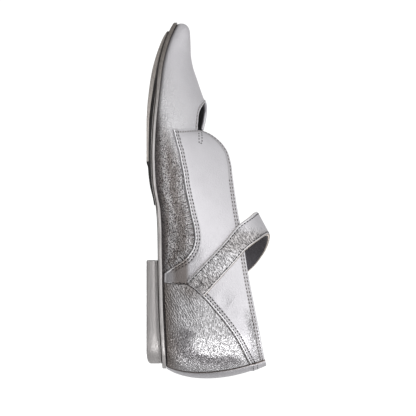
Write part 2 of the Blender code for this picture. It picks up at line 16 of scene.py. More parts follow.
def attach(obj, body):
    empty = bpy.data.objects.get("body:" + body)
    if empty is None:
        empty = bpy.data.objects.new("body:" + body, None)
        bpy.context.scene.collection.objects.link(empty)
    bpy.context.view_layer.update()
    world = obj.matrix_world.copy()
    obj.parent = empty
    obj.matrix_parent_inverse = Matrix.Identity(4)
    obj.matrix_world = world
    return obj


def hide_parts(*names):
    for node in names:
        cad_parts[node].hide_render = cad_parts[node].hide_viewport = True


bl_info = {
    "name": "Silver ankle-strap flat",
    "version": (1, 0, 0),
    "blender": (4, 5, 0),
    "location": "3D View > Sidebar > Flat shoe",
    "description": "Dresses the packed shoe with leather panels, lining, stitches, sole edges and a studio",
    "category": "Object",
}

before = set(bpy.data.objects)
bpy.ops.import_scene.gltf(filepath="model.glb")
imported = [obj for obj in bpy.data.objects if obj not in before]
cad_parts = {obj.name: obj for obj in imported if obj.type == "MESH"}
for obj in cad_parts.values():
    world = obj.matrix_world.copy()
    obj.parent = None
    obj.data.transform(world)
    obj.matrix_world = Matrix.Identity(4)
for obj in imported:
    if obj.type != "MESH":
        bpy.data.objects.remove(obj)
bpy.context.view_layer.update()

MM = 0.001
SHIFT = np.array([131.73, 1.24, 0.0])
BODY = "root"

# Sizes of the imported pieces, millimetres
UPPER_WALL = 1.6
OVERLAY_GAP = 0.3
OVERLAY_THICK = 0.9
PANEL_LIFT = OVERLAY_GAP + OVERLAY_THICK
LAYER_GAP = 0.3
SEAM_GAP = 0.4
OVERLAY_FOOT = 0.022
SOLE_MARGIN = 1.6
OUTSOLE_THICK = 2.6
INSOLE_THICK = 2.0
INSOLE_MARGIN = -2.4
TREAD_MARGIN = 0.8
HALF_SOLE_MARGIN = 1.2
TREAD_REAR_X = 128.0
HALF_SOLE_REAR_X = 160.0
HALF_SOLE_FRONT_X = 257.0
HEEL_MARGIN = -2.1
HEEL_BREAST_X = 87.2
HEEL_ROUND_X = 21.0
HEEL_ROUND_REACH = 10.4
HEEL_ROUND_RISE = 3.5
STRAP_THICK = 2.0
BINDING_END_X = 184.2

# One row per station of the last, from the toe tip round either side to the heel back.
# base: the feather line where wall meets sole.  top: toe ridge, then throat rim, tab and collar edge.
# flare and rise: how the wall leaves the sole.  spread and drop: how it meets the top.
# aim: plan direction of the spread in degrees, 0 forward, 90 sideways, 180 backward.
STATION_COLUMNS = ("base_x", "base_lat", "base_med", "top_x", "top_lat", "top_med", "z_lat", "z_med",
                   "flare", "rise", "spread", "drop", "aim")
STATIONS = (
    (262.1, -6.0, -6.0, 255.0, -6.0, -6.0, 32.4, 32.4, 2.4, 4.7, 7.5, 0.2, 0),
    (260.1, -1.9, -10.1, 252.0, -6.0, -6.0, 32.6, 32.6, 2.1, 5.6, 7.5, 0.2, 50),
    (254.2, 2.9, -13.8, 247.5, -6.0, -6.0, 32.8, 32.8, 1.8, 7.0, 8.0, 0.2, 78),
    (245.0, 8.8, -18.9, 240.5, -6.0, -6.0, 33.0, 33.0, 1.5, 8.0, 9.0, 0.2, 90),
    (232.0, 16.0, -24.1, 231.5, -5.8, -5.8, 34.4, 34.4, 1.8, 10.0, 11.0, 0.3, 90),
    (218.0, 23.4, -28.9, 221.5, -5.4, -5.4, 37.6, 37.6, 2.0, 12.0, 13.0, 0.5, 90),
    (206.0, 29.4, -32.0, 212.5, -4.6, -4.6, 40.6, 40.6, 2.2, 12.5, 16.0, 1.0, 90),
    (197.0, 32.7, -33.7, 204.8, -3.5, -3.5, 43.4, 43.4, 2.4, 13.0, 19.5, 2.0, 90),
    (190.0, 35.3, -34.9, 199.0, 7.0, -12.5, 39.0, 44.4, 2.5, 13.0, 13.0, 4.0, 90),
    (182.0, 37.0, -35.3, 190.5, 10.6, -14.0, 37.4, 43.4, 2.6, 13.0, 13.0, 5.0, 90),
    (176.5, 37.6, -35.3, 183.6, 11.1, -13.2, 38.0, 42.2, 2.8, 13.5, 13.0, 6.0, 90),
    (173.5, 37.8, -35.2, 181.7, 10.8, -12.6, 42.4, 43.6, 2.8, 14.0, 13.0, 6.8, 90),
    (169.5, 37.8, -34.9, 179.2, 10.2, -11.6, 47.8, 48.2, 3.0, 14.0, 13.0, 8.5, 90),
    (165.0, 37.6, -34.3, 174.7, 9.6, -10.8, 53.8, 53.8, 3.0, 15.0, 12.5, 10.0, 90),
    (159.5, 37.0, -33.2, 168.4, 9.3, -10.3, 58.8, 58.8, 3.0, 15.0, 12.0, 11.0, 90),
    (152.0, 35.6, -31.4, 160.2, 10.0, -10.6, 61.7, 61.7, 3.2, 16.0, 11.0, 12.5, 90),
    (140.0, 32.6, -27.3, 148.0, 12.2, -12.4, 63.5, 63.5, 3.5, 17.0, 9.0, 15.0, 90),
    (122.0, 29.3, -22.8, 127.0, 16.2, -16.2, 66.5, 66.5, 4.0, 18.0, 7.0, 17.0, 90),
    (100.0, 26.4, -20.9, 101.0, 20.5, -20.3, 71.1, 71.1, 4.5, 20.0, 5.5, 20.0, 90),
    (76.0, 25.4, -22.8, 75.5, 23.2, -22.8, 75.1, 75.1, 4.5, 22.0, 5.0, 23.0, 90),
    (50.0, 25.2, -24.3, 49.0, 22.6, -22.4, 80.2, 80.2, 5.0, 21.0, 5.5, 25.0, 92),
    (32.0, 23.6, -23.2, 32.0, 18.8, -18.8, 83.7, 83.7, 6.0, 20.0, 7.0, 26.0, 105),
    (18.2, 18.1, -17.9, 19.4, 12.2, -12.2, 86.1, 86.1, 8.0, 18.0, 9.0, 26.0, 130),
    (11.2, 10.6, -10.6, 12.8, 6.4, -6.4, 87.6, 87.6, 10.0, 16.0, 11.0, 26.0, 157),
    (8.8, 0.0, 0.0, 10.9, 0.0, 0.0, 88.0, 88.0, 11.4, 15.3, 12.2, 26.0, 180),
)
APEX = 7

# Height of the feather line and of the underside of the tread along the shoe
FEATHER_LINE = ((6.0, 14.9), (30.0, 13.2), (58.0, 11.9), (90.0, 11.3), (112.0, 10.9), (125.3, 10.0),
                (134.0, 8.4), (143.8, 6.9), (163.0, 6.0), (178.0, 6.4), (191.0, 7.2), (208.6, 9.1),
                (219.0, 10.3), (229.4, 11.6), (239.8, 13.7), (250.0, 16.8), (258.5, 20.4), (264.0, 23.4))
TREAD_LINE = ((127.0, 5.9), (133.4, 4.8), (142.3, 2.7), (151.2, 1.5), (157.0, 1.0), (160.0, 0.0),
              (187.0, 0.0), (200.0, 0.6), (208.9, 1.5), (217.8, 2.6), (226.7, 4.1), (235.5, 6.3),
              (244.4, 9.2), (253.3, 13.0), (258.0, 16.0))

# Share of the depth under the outsole that the half sole takes, the tread layer having the rest
HALF_SOLE_SHARE = ((160.0, 0.5), (190.0, 0.47), (212.0, 0.6), (235.0, 0.74), (245.0, 0.7), (251.0, 0.62),
                   (257.0, 0.5))

# Seams in side view.  SOLE stands for the feather line.
SOLE = None
QUARTER_SEAM = ((183.4, 19.0), (180.0, 20.0), (175.5, 21.2), (169.5, 22.8), (161.5, 24.6), (150.1, 26.9),
                (125.0, 31.5), (111.9, 34.6), (105.2, 35.4), (97.3, 34.1), (89.4, 28.8), (82.0, 18.2),
                (77.9, SOLE))
QUARTER_EDGE_X = (182.3, 180.4, 176.5, 170.5, 162.0, 150.0, 128.0, 115.0, 108.0, 100.0, 92.0, 85.0, 80.0)
COUNTER_SEAM = ((71.1, SOLE), (70.2, 20.0), (70.0, 28.8), (60.2, 41.6), (52.4, 48.6), (44.6, 55.1),
                (32.6, 64.2), (22.0, 70.2), (15.0, 73.8))
COUNTER_EDGE_X = (75.0, 72.0, 68.5, 60.5, 52.5, 45.0, 32.5, 23.0, 16.5)
COUNTER_FRONT = 2
COUNTER_SOLE_X = (71.1, 64.0, 54.0, 44.0, 32.0, 21.0, 14.5)
STRIP_BASE_X = 10.6
STRIP_TOP_X = 14.6
STRIP_SEAM_RISE = 0.02

# Strap, front and rear edge in side view where it lies on each wall, and its free arch between.
STRAP_LATERAL = (((72.4, 29.8), (61.4, 42.6)), ((82.8, 39.6), (69.6, 49.8)), ((93.4, 49.8), (78.0, 57.4)),
                 ((102.6, 58.2), (85.5, 64.2)), ((111.5, 65.4), (92.6, 70.2)))
STRAP_ARCH = (((118.4, 17.4, 74.2), (101.0, 18.6, 80.6)), ((122.4, -1.0, 80.4), (105.2, -1.0, 89.7)),
              ((110.5, -18.0, 76.6), (92.0, -19.4, 87.2)), ((100.8, -22.4, 71.8), (82.8, -24.4, 80.8)))
STRAP_MEDIAL = (((92.0, 67.2), (75.8, 73.4)), ((78.5, 57.3), (66.0, 67.0)), ((68.2, 50.2), (56.6, 60.4)),
                ((58.9, 43.9), (47.7, 54.2)))

# Steps for measuring slopes on the wall, and the search for places on it from their position in side view
PLACE_STEP = 1e-4
NORMAL_STEP = 1e-3
HALVINGS = 50
FIND_ROUNDS = 12
SEARCH_STATIONS = (0.02, 0.995, 90)
SEARCH_HEIGHTS = (0.0, 1.0, 30)
LEAST_SPOT = (0.01, 0.0)
MOST_SPOT = (0.999, 0.999)

# Mesh fineness and edge forms, millimetres
EDGE_STEPS = (0.0, 0.1, 0.28, 0.55, 0.9, 1.3, 1.8, 2.5)
EDGE_SHARE = 0.4
PANEL_SPACING = 1.1
PANEL_SHARES = 41
PATH_STEP = 0.6
WALL_SAMPLES = 1200
LOOP_SAMPLES = 1500
SOLE_SPACING = 1.3
NO_CUT = 1e3
TRACE_STEPS = 12
FRONT_BLEND = 3.5
LEAST_SLANT = 0.4
VAMP_SPACING = 1.4
VAMP_ROWS = 54
LINING_SPACING = 3.0
LINING_ROWS = 26
SEAM_STEP = 0.15
MERGE_REACH = 1e-7
STRIP_LEVEL = 0.5
STRIP_STATIONS = (0.97, 0.98)
EASE_REACH = 4.0
EASE_TOP = 0.9
EASE_ROUNDS = 12
SKIN_THICK = 0.8
SHARP_EDGE_DEG = 50
SEATED = 0.05
FOLD_RADIUS = 0.8
TROUGH_DEPTH = 0.22
TROUGH_WIDTH = 0.45
STITCH_LENGTH = 1.65
STITCH_GAP = 1.05
STITCH_THICK = 0.4
STITCH_FLAT = 0.8
STITCH_SINK = 0.12
STITCH_SIDES = 6
STITCH_PROFILE = ((0.0, 0.35), (0.12, 0.85), (0.5, 1.0), (0.88, 0.85), (1.0, 0.35))
TAB_LIFT = 0.6
TAB_FOOT_Z = 77.5
TAB_FOOT_REACH = 0.25
STRIP_ROWS = ((OVERLAY_FOOT, 0.9, 60), (0.905, 1.0, 24))
STRIP_SHARES = (0.0, 0.012, 0.035, 0.07, 0.12, 0.2, 0.3, 0.4, 0.5)
STRAP_ROWS = 9
STRAP_COLUMNS = 400
STRAP_WALL_STEPS = 3
STRAP_SPACING = 1.3
STRAP_CROWN = 4.0
STRAP_LINING_TOP = 0.3
STRAP_CORE_TOP = 1.5
STRAP_LEATHER_INSET = 0.1
STRAP_LEATHER_BULGE = 0.25
STRAP_LINING_INSET = 0.5
STRAP_LIFT = 2 * OVERLAY_GAP + OVERLAY_THICK
STRAP_WIDTH = 16.0
SOLE_PERIMETER = 300.0

# Folded throat edge in section: reach from the rim over the leather, lift off it.
# Its stitches lie in the dip, and its fold is low round the throat's front end.
BINDING_PROFILE = ((0.1, -1.5), (-0.35, -1.0), (-0.5, -0.3), (-0.45, 0.3), (-0.2, 0.72), (0.25, 0.95),
                   (0.7, 0.95), (1.05, 0.8), (1.5, 0.55), (2.0, 0.44), (2.6, 0.56), (3.2, 0.56),
                   (3.7, 0.34), (3.95, 0.0), (3.95, -0.4))
BINDING_DIP = 9
BINDING_STEP = 0.55
BINDING_INSIDE = 0.96
BINDING_HIDDEN = -1.0
BINDING_RIM = 0.3
RIM_SAMPLES = 2001
APEX_REACH = 9
APEX_TAPER = 8.0
APEX_LIFT = 0.35

# Two sewn rows beside the quarter's edges and the zone that they press down, which gets painted shade,
# distances from the edge
SEWN_ROWS = (1.6, 3.5)
SEWN_FROM = (1.05, 1.35)
SEWN_TO = (4.3, 3.8)
COLLAR_SECOND_ROW = 0.2
FRONT_ROW = 2.5
SEWN_CLEAR = 6.2
STRAP_ROW = 1.7
# Painted shade in the strap's sewn troughs and a painted highlight along its folded edges
STRAP_SEWN = ((1.1, 1.5), (2.3, 1.9))
STRAP_FOLD = (1.3, 1.0)
STRAP_RIM = (0.8, 0.5)
# Painted highlight on the folded edges of the quarter and the throat, kept clear of the sole
FOLD_SHINE = ((0.05, 0.2), (1.45, 1.15))
FOLD_CLEAR = (2.5, 4.5)

# Main creases in side view: from (x, z) to (x, z), half width, height.  Troughs are negative.
CREASE_ENDS = (0.02, 0.98)
CREASE_EDGE = 2.5
VAMP_CREASES = (
    (108.0, 14.6, 91.0, 27.8, 2.2, -0.7),
    (112.0, 18.5, 98.0, 30.0, 2.4, 0.55),
    (127.6, 30.6, 126.6, 24.6, 0.7, 0.42),
    (124.6, 31.2, 123.2, 25.6, 0.7, 0.45),
    (121.4, 31.9, 119.8, 26.0, 0.7, 0.42),
    (118.2, 32.6, 116.4, 26.4, 0.75, 0.5),
    (115.0, 33.4, 113.0, 27.0, 0.7, 0.45),
    (111.8, 34.1, 110.0, 27.6, 0.75, 0.5),
    (108.6, 34.7, 107.4, 28.4, 0.7, 0.45),
    (105.2, 34.9, 105.0, 28.8, 0.75, 0.5),
    (101.8, 34.7, 102.6, 28.6, 0.7, 0.45),
    (98.4, 34.0, 100.2, 28.0, 0.75, 0.5),
    (95.0, 32.2, 97.6, 26.6, 0.7, 0.42),
    (92.0, 30.0, 95.0, 24.8, 0.75, 0.45),
    (89.4, 27.6, 92.6, 23.2, 0.7, 0.4),
    (176.0, 9.0, 128.0, 9.2, 2.6, -0.3),
    (168.0, 14.0, 132.0, 15.5, 3.2, 0.35),
)
COUNTER_CREASES = (
    (64.0, 22.0, 57.0, 27.0, 0.7, 0.32),
    (62.5, 20.2, 54.5, 26.0, 0.7, 0.34),
    (60.5, 18.8, 52.2, 25.0, 0.7, 0.34),
    (58.4, 17.6, 50.0, 24.0, 0.7, 0.36),
    (56.2, 16.8, 47.8, 23.0, 0.7, 0.34),
    (54.0, 16.2, 45.6, 22.0, 0.7, 0.32),
    (51.6, 15.8, 43.6, 21.2, 0.7, 0.3),
    (62.0, 27.0, 55.0, 32.0, 0.8, 0.3),
    (60.0, 31.0, 53.0, 35.0, 0.8, 0.26),
    (30.0, 18.0, 14.0, 30.0, 3.2, -0.45),
    (17.0, 28.0, 12.5, 52.0, 3.0, -0.5),
    (34.0, 17.0, 26.0, 18.6, 0.7, 0.26),
    (31.0, 19.2, 23.0, 21.4, 0.7, 0.26),
    (27.0, 21.8, 19.0, 24.6, 0.7, 0.24),
    (40.0, 34.0, 24.0, 62.0, 6.0, 0.5),
)
QUARTER_CREASES = (
    (62.0, 52.0, 55.0, 61.0, 6.5, -0.65),
    (52.0, 66.0, 44.0, 70.0, 3.0, 0.3),
    (96.0, 44.0, 86.0, 38.0, 4.0, 0.3),
)

# Cross wrinkles of the strap, drawn at random: their number, the seed, and the range of each one's middle
# along the strap, lean, centre and reach across it, width (all shares of the strap) and height (millimetres)
STRAP_WRINKLES = 90
WRINKLE_SEED = 11
WRINKLE_RANGES = ((0.0, 0.42), (-0.075, -0.025), (-0.3, 0.3), (0.15, 0.4), (0.004, 0.007), (0.06, 0.16))
WRINKLE_FADE_FROM = 0.3
WRINKLE_FADE_OVER = 0.15
WRINKLE_FADE_SHARE = 0.8
WRINKLE_EDGE = 2.0

# Rims of the sole layers: inset from the margin, share of the thickness from the bottom, rise above it
ROUND_RIM = ((3.0, 0.0, 0.0), (0.6, 0.0, 0.0), (0.2, 0.0, 0.12), (0.0, 0.0, 0.5), (0.0, 0.5, 0.0),
             (0.0, 1.0, -0.5), (0.2, 1.0, -0.12), (0.6, 1.0, 0.0), (3.0, 1.0, 0.0))
PLAIN_RIM = ((3.0, 0.0, 0.0), (0.3, 0.0, 0.0), (0.0, 0.0, 0.25), (0.0, 1.0, -0.25), (0.3, 1.0, 0.0),
             (3.0, 1.0, 0.0))
HEEL_RIM = ((3.0, 0.0, 0.0), (0.9, 0.0, 0.0), (0.3, 0.0, 0.2), (0.0, 0.0, 0.8), (0.0, 0.5, 0.0),
            (0.0, 1.0, -1.9), (0.35, 1.0, -1.6), (0.35, 1.0, -1.45), (0.0, 1.0, -1.15), (0.0, 1.0, -0.35),
            (0.25, 1.0, 0.0), (3.0, 1.0, 0.0))

# Bar sewn at the root of the tab, in side view, and the rows across the back tab
TAB_BAR = ((181.0, 38.0), (173.2, 38.0), (173.2, 40.2), (181.0, 40.2))
TAB_STITCH_Z = (79.5, 82.5)

# Painted shade on the foil up the side of the vamp: share of the way from the sole to the quarter's seam,
# level
HOLLOW_BANDS = ((0.0, 0.0), (0.16, 0.05), (0.3, 0.6), (0.42, 0.5), (0.56, 0.1), (0.7, 0.15), (0.84, 0.6),
                (1.0, 0.95))
HOLLOW_END_X = (0.056, 0.076)
# Share of painted brown reflection in the shaded foil
HOLLOW_BROWN = 0.15
HOLLOW_STREAKS = {"stretch": 9.0, "scale": 450.0, "reach": 0.5}

# Painted shade at the foot of the vamp beside the sole and the quarter: reach on the foil and on the toe,
# amount on each
VAMP_FOOT = {"foil": 6.5, "toe": 3.4, "amount": 0.9}
VAMP_SEAM = {"reach": 1.0, "foil": 0.9, "toe": 0.0}

# Gathers under the quarter's seam: where along the shoe, how far from the seam, spacing, how much shows;
# their crests get a painted highlight
GATHER_X = (0.012, -0.012)
GATHER_REACH = (4.6, 0.8)
GATHER_SCALE = 0.9
GATHER_FOLD = (0.42, 0.6)
GATHER_AMOUNT = 0.8
GATHER_RISE = 1.2

# Where foil gives way to smooth leather along the shoe, and the wrinkles at the strap's root, metres
TOE_GRAIN_X = (0.046, 0.08)
TOE_RELIEF_X = (0.06, 0.125)
TOE_SLANT = 0.0015
TOE_EDGE_X = (0.045, 0.115)
TREAD_TOE_X = (0.08, 0.118)
STRAP_SMOOTH_X = (-0.026, -0.017)
# Painted shade on the strap at its root and its bends
STRAP_ROOT_X = (-0.048, -0.062)
STRAP_BEND_X = ((-0.042, -0.034), (-0.019, -0.026))
STRAP_SHADE = 0.5
STRAP_PRESSED = 0.25
# Painted brown shade on the counter under the strap's root
STRAP_ROOT = (-0.065, 0.0, 0.031)
STRAP_ROOT_REACH = 0.014
STRAP_ROOT_DARK = 0.6
# Wrinkles at the strap's root: painted shade in their troughs, a painted highlight on their crests
WRINKLE_ROOT = (-0.0785, 0.0, 0.024)
WRINKLE_NEAR = (0.02, 0.008)
WRINKLE_ACROSS = (1963.0, 0.0, 3416.0)
WRINKLE_STIR = {"scale": 260.0, "reach": 11.0}
WRINKLE_SHOWN = 0.4
WRINKLE_RISE = 0.9
# Painted brown shade on the counter beside the sole, and painted shade along its seam edge
HEEL_FOOT = {"reach": 16.0, "amount": 0.8}
HEEL_SEAM_REACH = 1.0
SIDE_VIEW = (1.0, 0.0, 1.0)
# Painted brown reflection on the quarter above the sole, and painted shade along the back strip's edges,
# towards the heel
BROWN_SHADE_X = (-0.03, -0.042)
QUARTER_BROWN_SHADE = ("above_sole", (4.0, 11.0), (21.0, 17.0), 0.74)
STRIP_EDGE_SHADE = ("from_edge", (-2.0, -1.0), (1.2, 0.0), 0.9)
# How dark the painted shade of the throat's sewn zone is
BINDING_PRESSED = 0.6
COLLAR_CRACKLE = ((2.2, 3.6), (11.0, 5.0))
COLLAR_CRACKLE_X = (-0.076, -0.092)
COLLAR_CRACKLE_SHOWN = 0.7
COLLAR_CRACKLE_RISE = 0.5
JOINT_LINE = ((-3.6, -3.2), (-2.4, -2.8))
JOINT_DARK = 0.9
JOINT_RISE = 1.0
JOINT_RISE_X = ((-0.014, -0.002), (0.095, 0.07))

# Painted shade in a ring round the bright patch that the heel light makes behind the heel: the patch's
# middle, one over its half lengths, the darkness at distances from its middle, and the side where that
# darkness lies
HEEL_PATCH = (-0.1045, 0.0, 0.0525)
HEEL_PATCH_SHARE = (40.0, 0.0, 21.0)
HEEL_RING = ((0.0, 0.0), (0.36, 0.0), (0.48, 0.9), (0.64, 0.8), (0.8, 0.25))
RING_SIDE = (-1.0, 0.0, -0.6)
RING_SIDE_RAMP = (0.0, 0.006)
# Painted shade along the counter's edge, towards the heel from here
SEAM_DARK_X = (-0.068, -0.074)

# Creased foil: share and reach of the noise that stirs it, noise level of a fold, the plates between folds
# The plates' brightness is painted reflection, and the creases' darkness painted shade
STIR_SHARE = 0.3
STIR_REACH = 2.0
FOLD_LINE = (0.48, 0.4)
PLATES_APART = (0.31, 0.17, 0.53)
PLATE_TONE = (0.34, 0.6)
PLATE_RISE = 0.4
FOIL_ROUGH = (0.42, 0.3)

# Grain of finished leather and streaks of a sole edge: shares of the broad, domed and fine parts
CLOUD_SCALE = 0.12
GRAIN_BROAD = 0.6
GRAIN_FINE = 0.4
STREAK_DRAW = (0.05, 0.6, 1.0)
STREAK_SHARE = 0.7
SPECK_SHARE = 0.3
STREAK_TONE = (0.3, 0.7)

# Depth of the bump in each finish, metres, and how far the fine grain shows beside creased foil
FOIL_BUMP = 0.0003
SMOOTH_BUMP = 0.0005
LINING_BUMP = 0.0004
EDGE_BUMP = 0.0002
FINE_GRAIN = 0.3
TOE_GRAIN = 0.8
LINING_GRAIN = 0.0011
RAW_EDGE_GRAIN = 0.0012
THREAD_GRAIN = 0.0004
STREAK_SIZE = 0.0008

# Roughness of the finishes, from the low to the high tone, and the share of the paint in the two tones
TOE_ROUGH = 0.46
STRAP_ROUGH = 0.44
SMOOTH_ROUGH = (0.46, 0.3)
LINING_ROUGH = (0.7, 0.85)
LINING_TONES = (0.65, 1.35)
LINING_NAP = 0.25
THREAD_ROUGH = (0.5, 0.7)
THREAD_TONES = (0.6, 1.0)
THREAD_TWIST = {"turn": 35.0, "stretch": 2.0}
EDGE_SMOOTHER = 0.1
EDGE_ROUGHER = 0.12

# Camera sensor, millimetres, and the floor, metres
SENSOR = 36.0
FLOOR_REACH = 1.2
FLOOR_CORNERS = ((-1, -1, 0), (1, -1, 0), (1, 1, 0), (-1, 1, 0))
FLOOR_COLOUR = (0.93, 0.93, 0.93, 1)
FLOOR_GLOSS = 0.1

# Lights: setting for the power, place, target, size, metres, and whether it shows in reflections
LIGHTS = (
    ("top_light", (0.0, 0.2, 1.4), (0.0, 0.0, 0.03), 1.6, False),
    ("front_light", (0.15, 1.7, 0.75), (0.0, 0.0, 0.04), 0.9, True),
    ("heel_light", (-1.14, 0.93, 0.27), (-0.1, 0.0, 0.04), 0.4, True),
)

# Studio walls, each over those before it: axis of the direction, where it starts and is full, its setting
STUDIO_ZONES = (
    ("Z", -0.35, 0.35, "front"),
    ("Z", 0.45, 0.95, "above"),
    ("X", 0.5, 0.98, "beyond_toe"),
    ("Y", 0.1, -0.6, "behind"),
    ("X", -0.8, -0.97, "below"),
)


def column(name):
    """One named column of the station table."""
    index = STATION_COLUMNS.index(name)
    return np.array([row[index] for row in STATIONS], dtype=float)


def slopes_monotone(xs, ys):
    """Slopes for a curve through the points that never overshoots them."""
    steps = np.diff(xs)
    rises = np.diff(ys) / steps
    slopes = np.zeros(len(xs))
    slopes[0], slopes[-1] = rises[0], rises[-1]
    for i in range(1, len(xs) - 1):
        if rises[i - 1] * rises[i] > 0:
            before, after = 2 * steps[i] + steps[i - 1], steps[i] + 2 * steps[i - 1]
            slopes[i] = (before + after) / (before / rises[i - 1] + after / rises[i])
    return slopes


def slopes_closed(xs, ys):
    """Slopes of a smooth closed curve whose last point repeats the first."""
    steps = np.diff(xs)
    rises = np.diff(ys) / steps
    before, after = np.roll(rises, 1), rises
    step_before, step_after = np.roll(steps, 1), steps
    slopes = (before * step_after + after * step_before) / (step_before + step_after)
    return np.append(slopes, slopes[0])


def slopes_open(xs, ys):
    """Slopes of a smooth open curve."""
    return np.gradient(ys, xs)


class Curve:
    """A cubic curve through the points (xs, ys)."""

    def __init__(self, xs, ys, slopes=slopes_monotone):
        self.xs = np.asarray(xs, dtype=float)
        self.ys = np.asarray(ys, dtype=float)
        self.slopes = slopes(self.xs, self.ys)

    def __call__(self, x):
        x = np.asarray(x, dtype=float)
        i = np.clip(np.searchsorted(self.xs, x) - 1, 0, len(self.xs) - 2)
        step = self.xs[i + 1] - self.xs[i]
        t = np.clip((x - self.xs[i]) / step, 0.0, 1.0)
        rest = 1.0 - t
        return (self.ys[i] * rest * rest * (1 + 2 * t) + self.slopes[i] * step * t * rest * rest
                + self.ys[i + 1] * t * t * (3 - 2 * t) - self.slopes[i + 1] * step * t * t * rest)


def loop_curve(knots, lateral, medial):
    """A closed curve: out along the lateral side, back along the medial side."""
    xs = np.concatenate([knots, 2 * knots[-1] - knots[:-1][::-1]])
    return Curve(xs, np.concatenate([lateral, medial[:-1][::-1]]), slopes_closed)


def station_knots():
    """Position of each station round the shoe, 0 at the toe tip and 1 at the heel back."""
    lateral = np.hypot(np.diff(column("base_x")), np.diff(column("base_lat")))
    medial = np.hypot(np.diff(column("base_x")), np.diff(column("base_med")))
    along = np.concatenate([[0.0], np.cumsum(lateral + medial)])
    return along / along[-1]


KNOTS = station_knots()
BASE_X = loop_curve(KNOTS, column("base_x"), column("base_x"))
BASE_Y = loop_curve(KNOTS, column("base_lat"), column("base_med"))
RIM_X = loop_curve(KNOTS[APEX:], column("top_x")[APEX:], column("top_x")[APEX:])
RIM_Y = loop_curve(KNOTS[APEX:], column("top_lat")[APEX:], column("top_med")[APEX:])
RIM_Z = loop_curve(KNOTS[APEX:], column("z_lat")[APEX:], column("z_med")[APEX:])
RIDGE = [Curve(KNOTS[:APEX + 1], column(name)[:APEX + 1]) for name in ("top_x", "top_lat", "z_lat")]
HANDLES = [Curve(KNOTS, column(name)) for name in ("flare", "rise", "spread", "drop", "aim")]
FEATHER_Z = Curve([x for x, z in FEATHER_LINE], [z for x, z in FEATHER_LINE])
TREAD_Z = Curve([x for x, z in TREAD_LINE], [z for x, z in TREAD_LINE])
HALF_SHARE = Curve([x for x, part in HALF_SOLE_SHARE], [part for x, part in HALF_SOLE_SHARE])
APEX_PLACE = KNOTS[APEX]


def unit(vectors):
    """The directions of vectors, each one long."""
    return vectors / np.linalg.norm(vectors, axis=-1, keepdims=True)


def outline(place, margin=0.0):
    """Feather line in plan, moved outwards by the margin.  place: 0 to 1 lateral, 1 to 2 medial."""
    ahead, behind = (place + PLACE_STEP) % 2, (place - PLACE_STEP) % 2
    along = unit(np.stack([BASE_X(ahead) - BASE_X(behind), BASE_Y(ahead) - BASE_Y(behind)], axis=-1))
    normal = np.stack([along[..., 1], -along[..., 0]], axis=-1)
    return np.stack([BASE_X(place), BASE_Y(place)], axis=-1) + margin * normal, normal


def top_point(place):
    """Toe ridge in front of the throat, free edge behind it."""
    station = np.where(place <= 1, place, 2 - place)
    ridge = np.stack([part(station) for part in RIDGE], axis=-1)
    rim = np.stack([RIM_X(place), RIM_Y(place), RIM_Z(place)], axis=-1)
    return np.where((station <= APEX_PLACE)[..., None], ridge, rim)


def wall(place, height):
    """Outside of the upper.  height: 0 at the feather line, 1 at the ridge or free edge."""
    place, height = np.broadcast_arrays(np.asarray(place, float), np.asarray(height, float))
    station = np.where(place <= 1, place, 2 - place)
    side = np.where(place <= 1, 1.0, -1.0)
    flare, rise, spread, drop, aim = [handle(station) for handle in HANDLES]
    plan, normal = outline(place)
    angle = np.radians(aim)
    start = np.concatenate([plan, FEATHER_Z(plan[..., 0])[..., None]], axis=-1)
    end = top_point(place)
    leave = start + np.stack([flare * normal[..., 0], flare * normal[..., 1], rise], axis=-1)
    arrive = end + np.stack([spread * np.cos(angle), side * spread * np.sin(angle), -drop], axis=-1)
    k = height[..., None]
    rest = 1.0 - k
    return start * rest ** 3 + 3 * leave * k * rest ** 2 + 3 * arrive * k ** 2 * rest + end * k ** 3


def wall_normal(place, height):
    """Outward direction of the upper's outside."""
    place, height = np.broadcast_arrays(np.asarray(place, float), np.asarray(height, float))
    low, high = np.maximum(height - NORMAL_STEP, 0.0), np.minimum(height + NORMAL_STEP, 1.0)
    left, right = np.maximum(place - NORMAL_STEP, 0.0), np.minimum(place + NORMAL_STEP, 2.0)
    return unit(np.cross(wall(right, height) - wall(left, height), wall(place, high) - wall(place, low)))


def station_at(value, measure, first, last):
    """Station between first and last where a falling measure reaches the value."""
    for _ in range(HALVINGS):
        middle = 0.5 * (first + last)
        if measure(middle) > value:
            first = middle
        else:
            last = middle
    return 0.5 * (first + last)


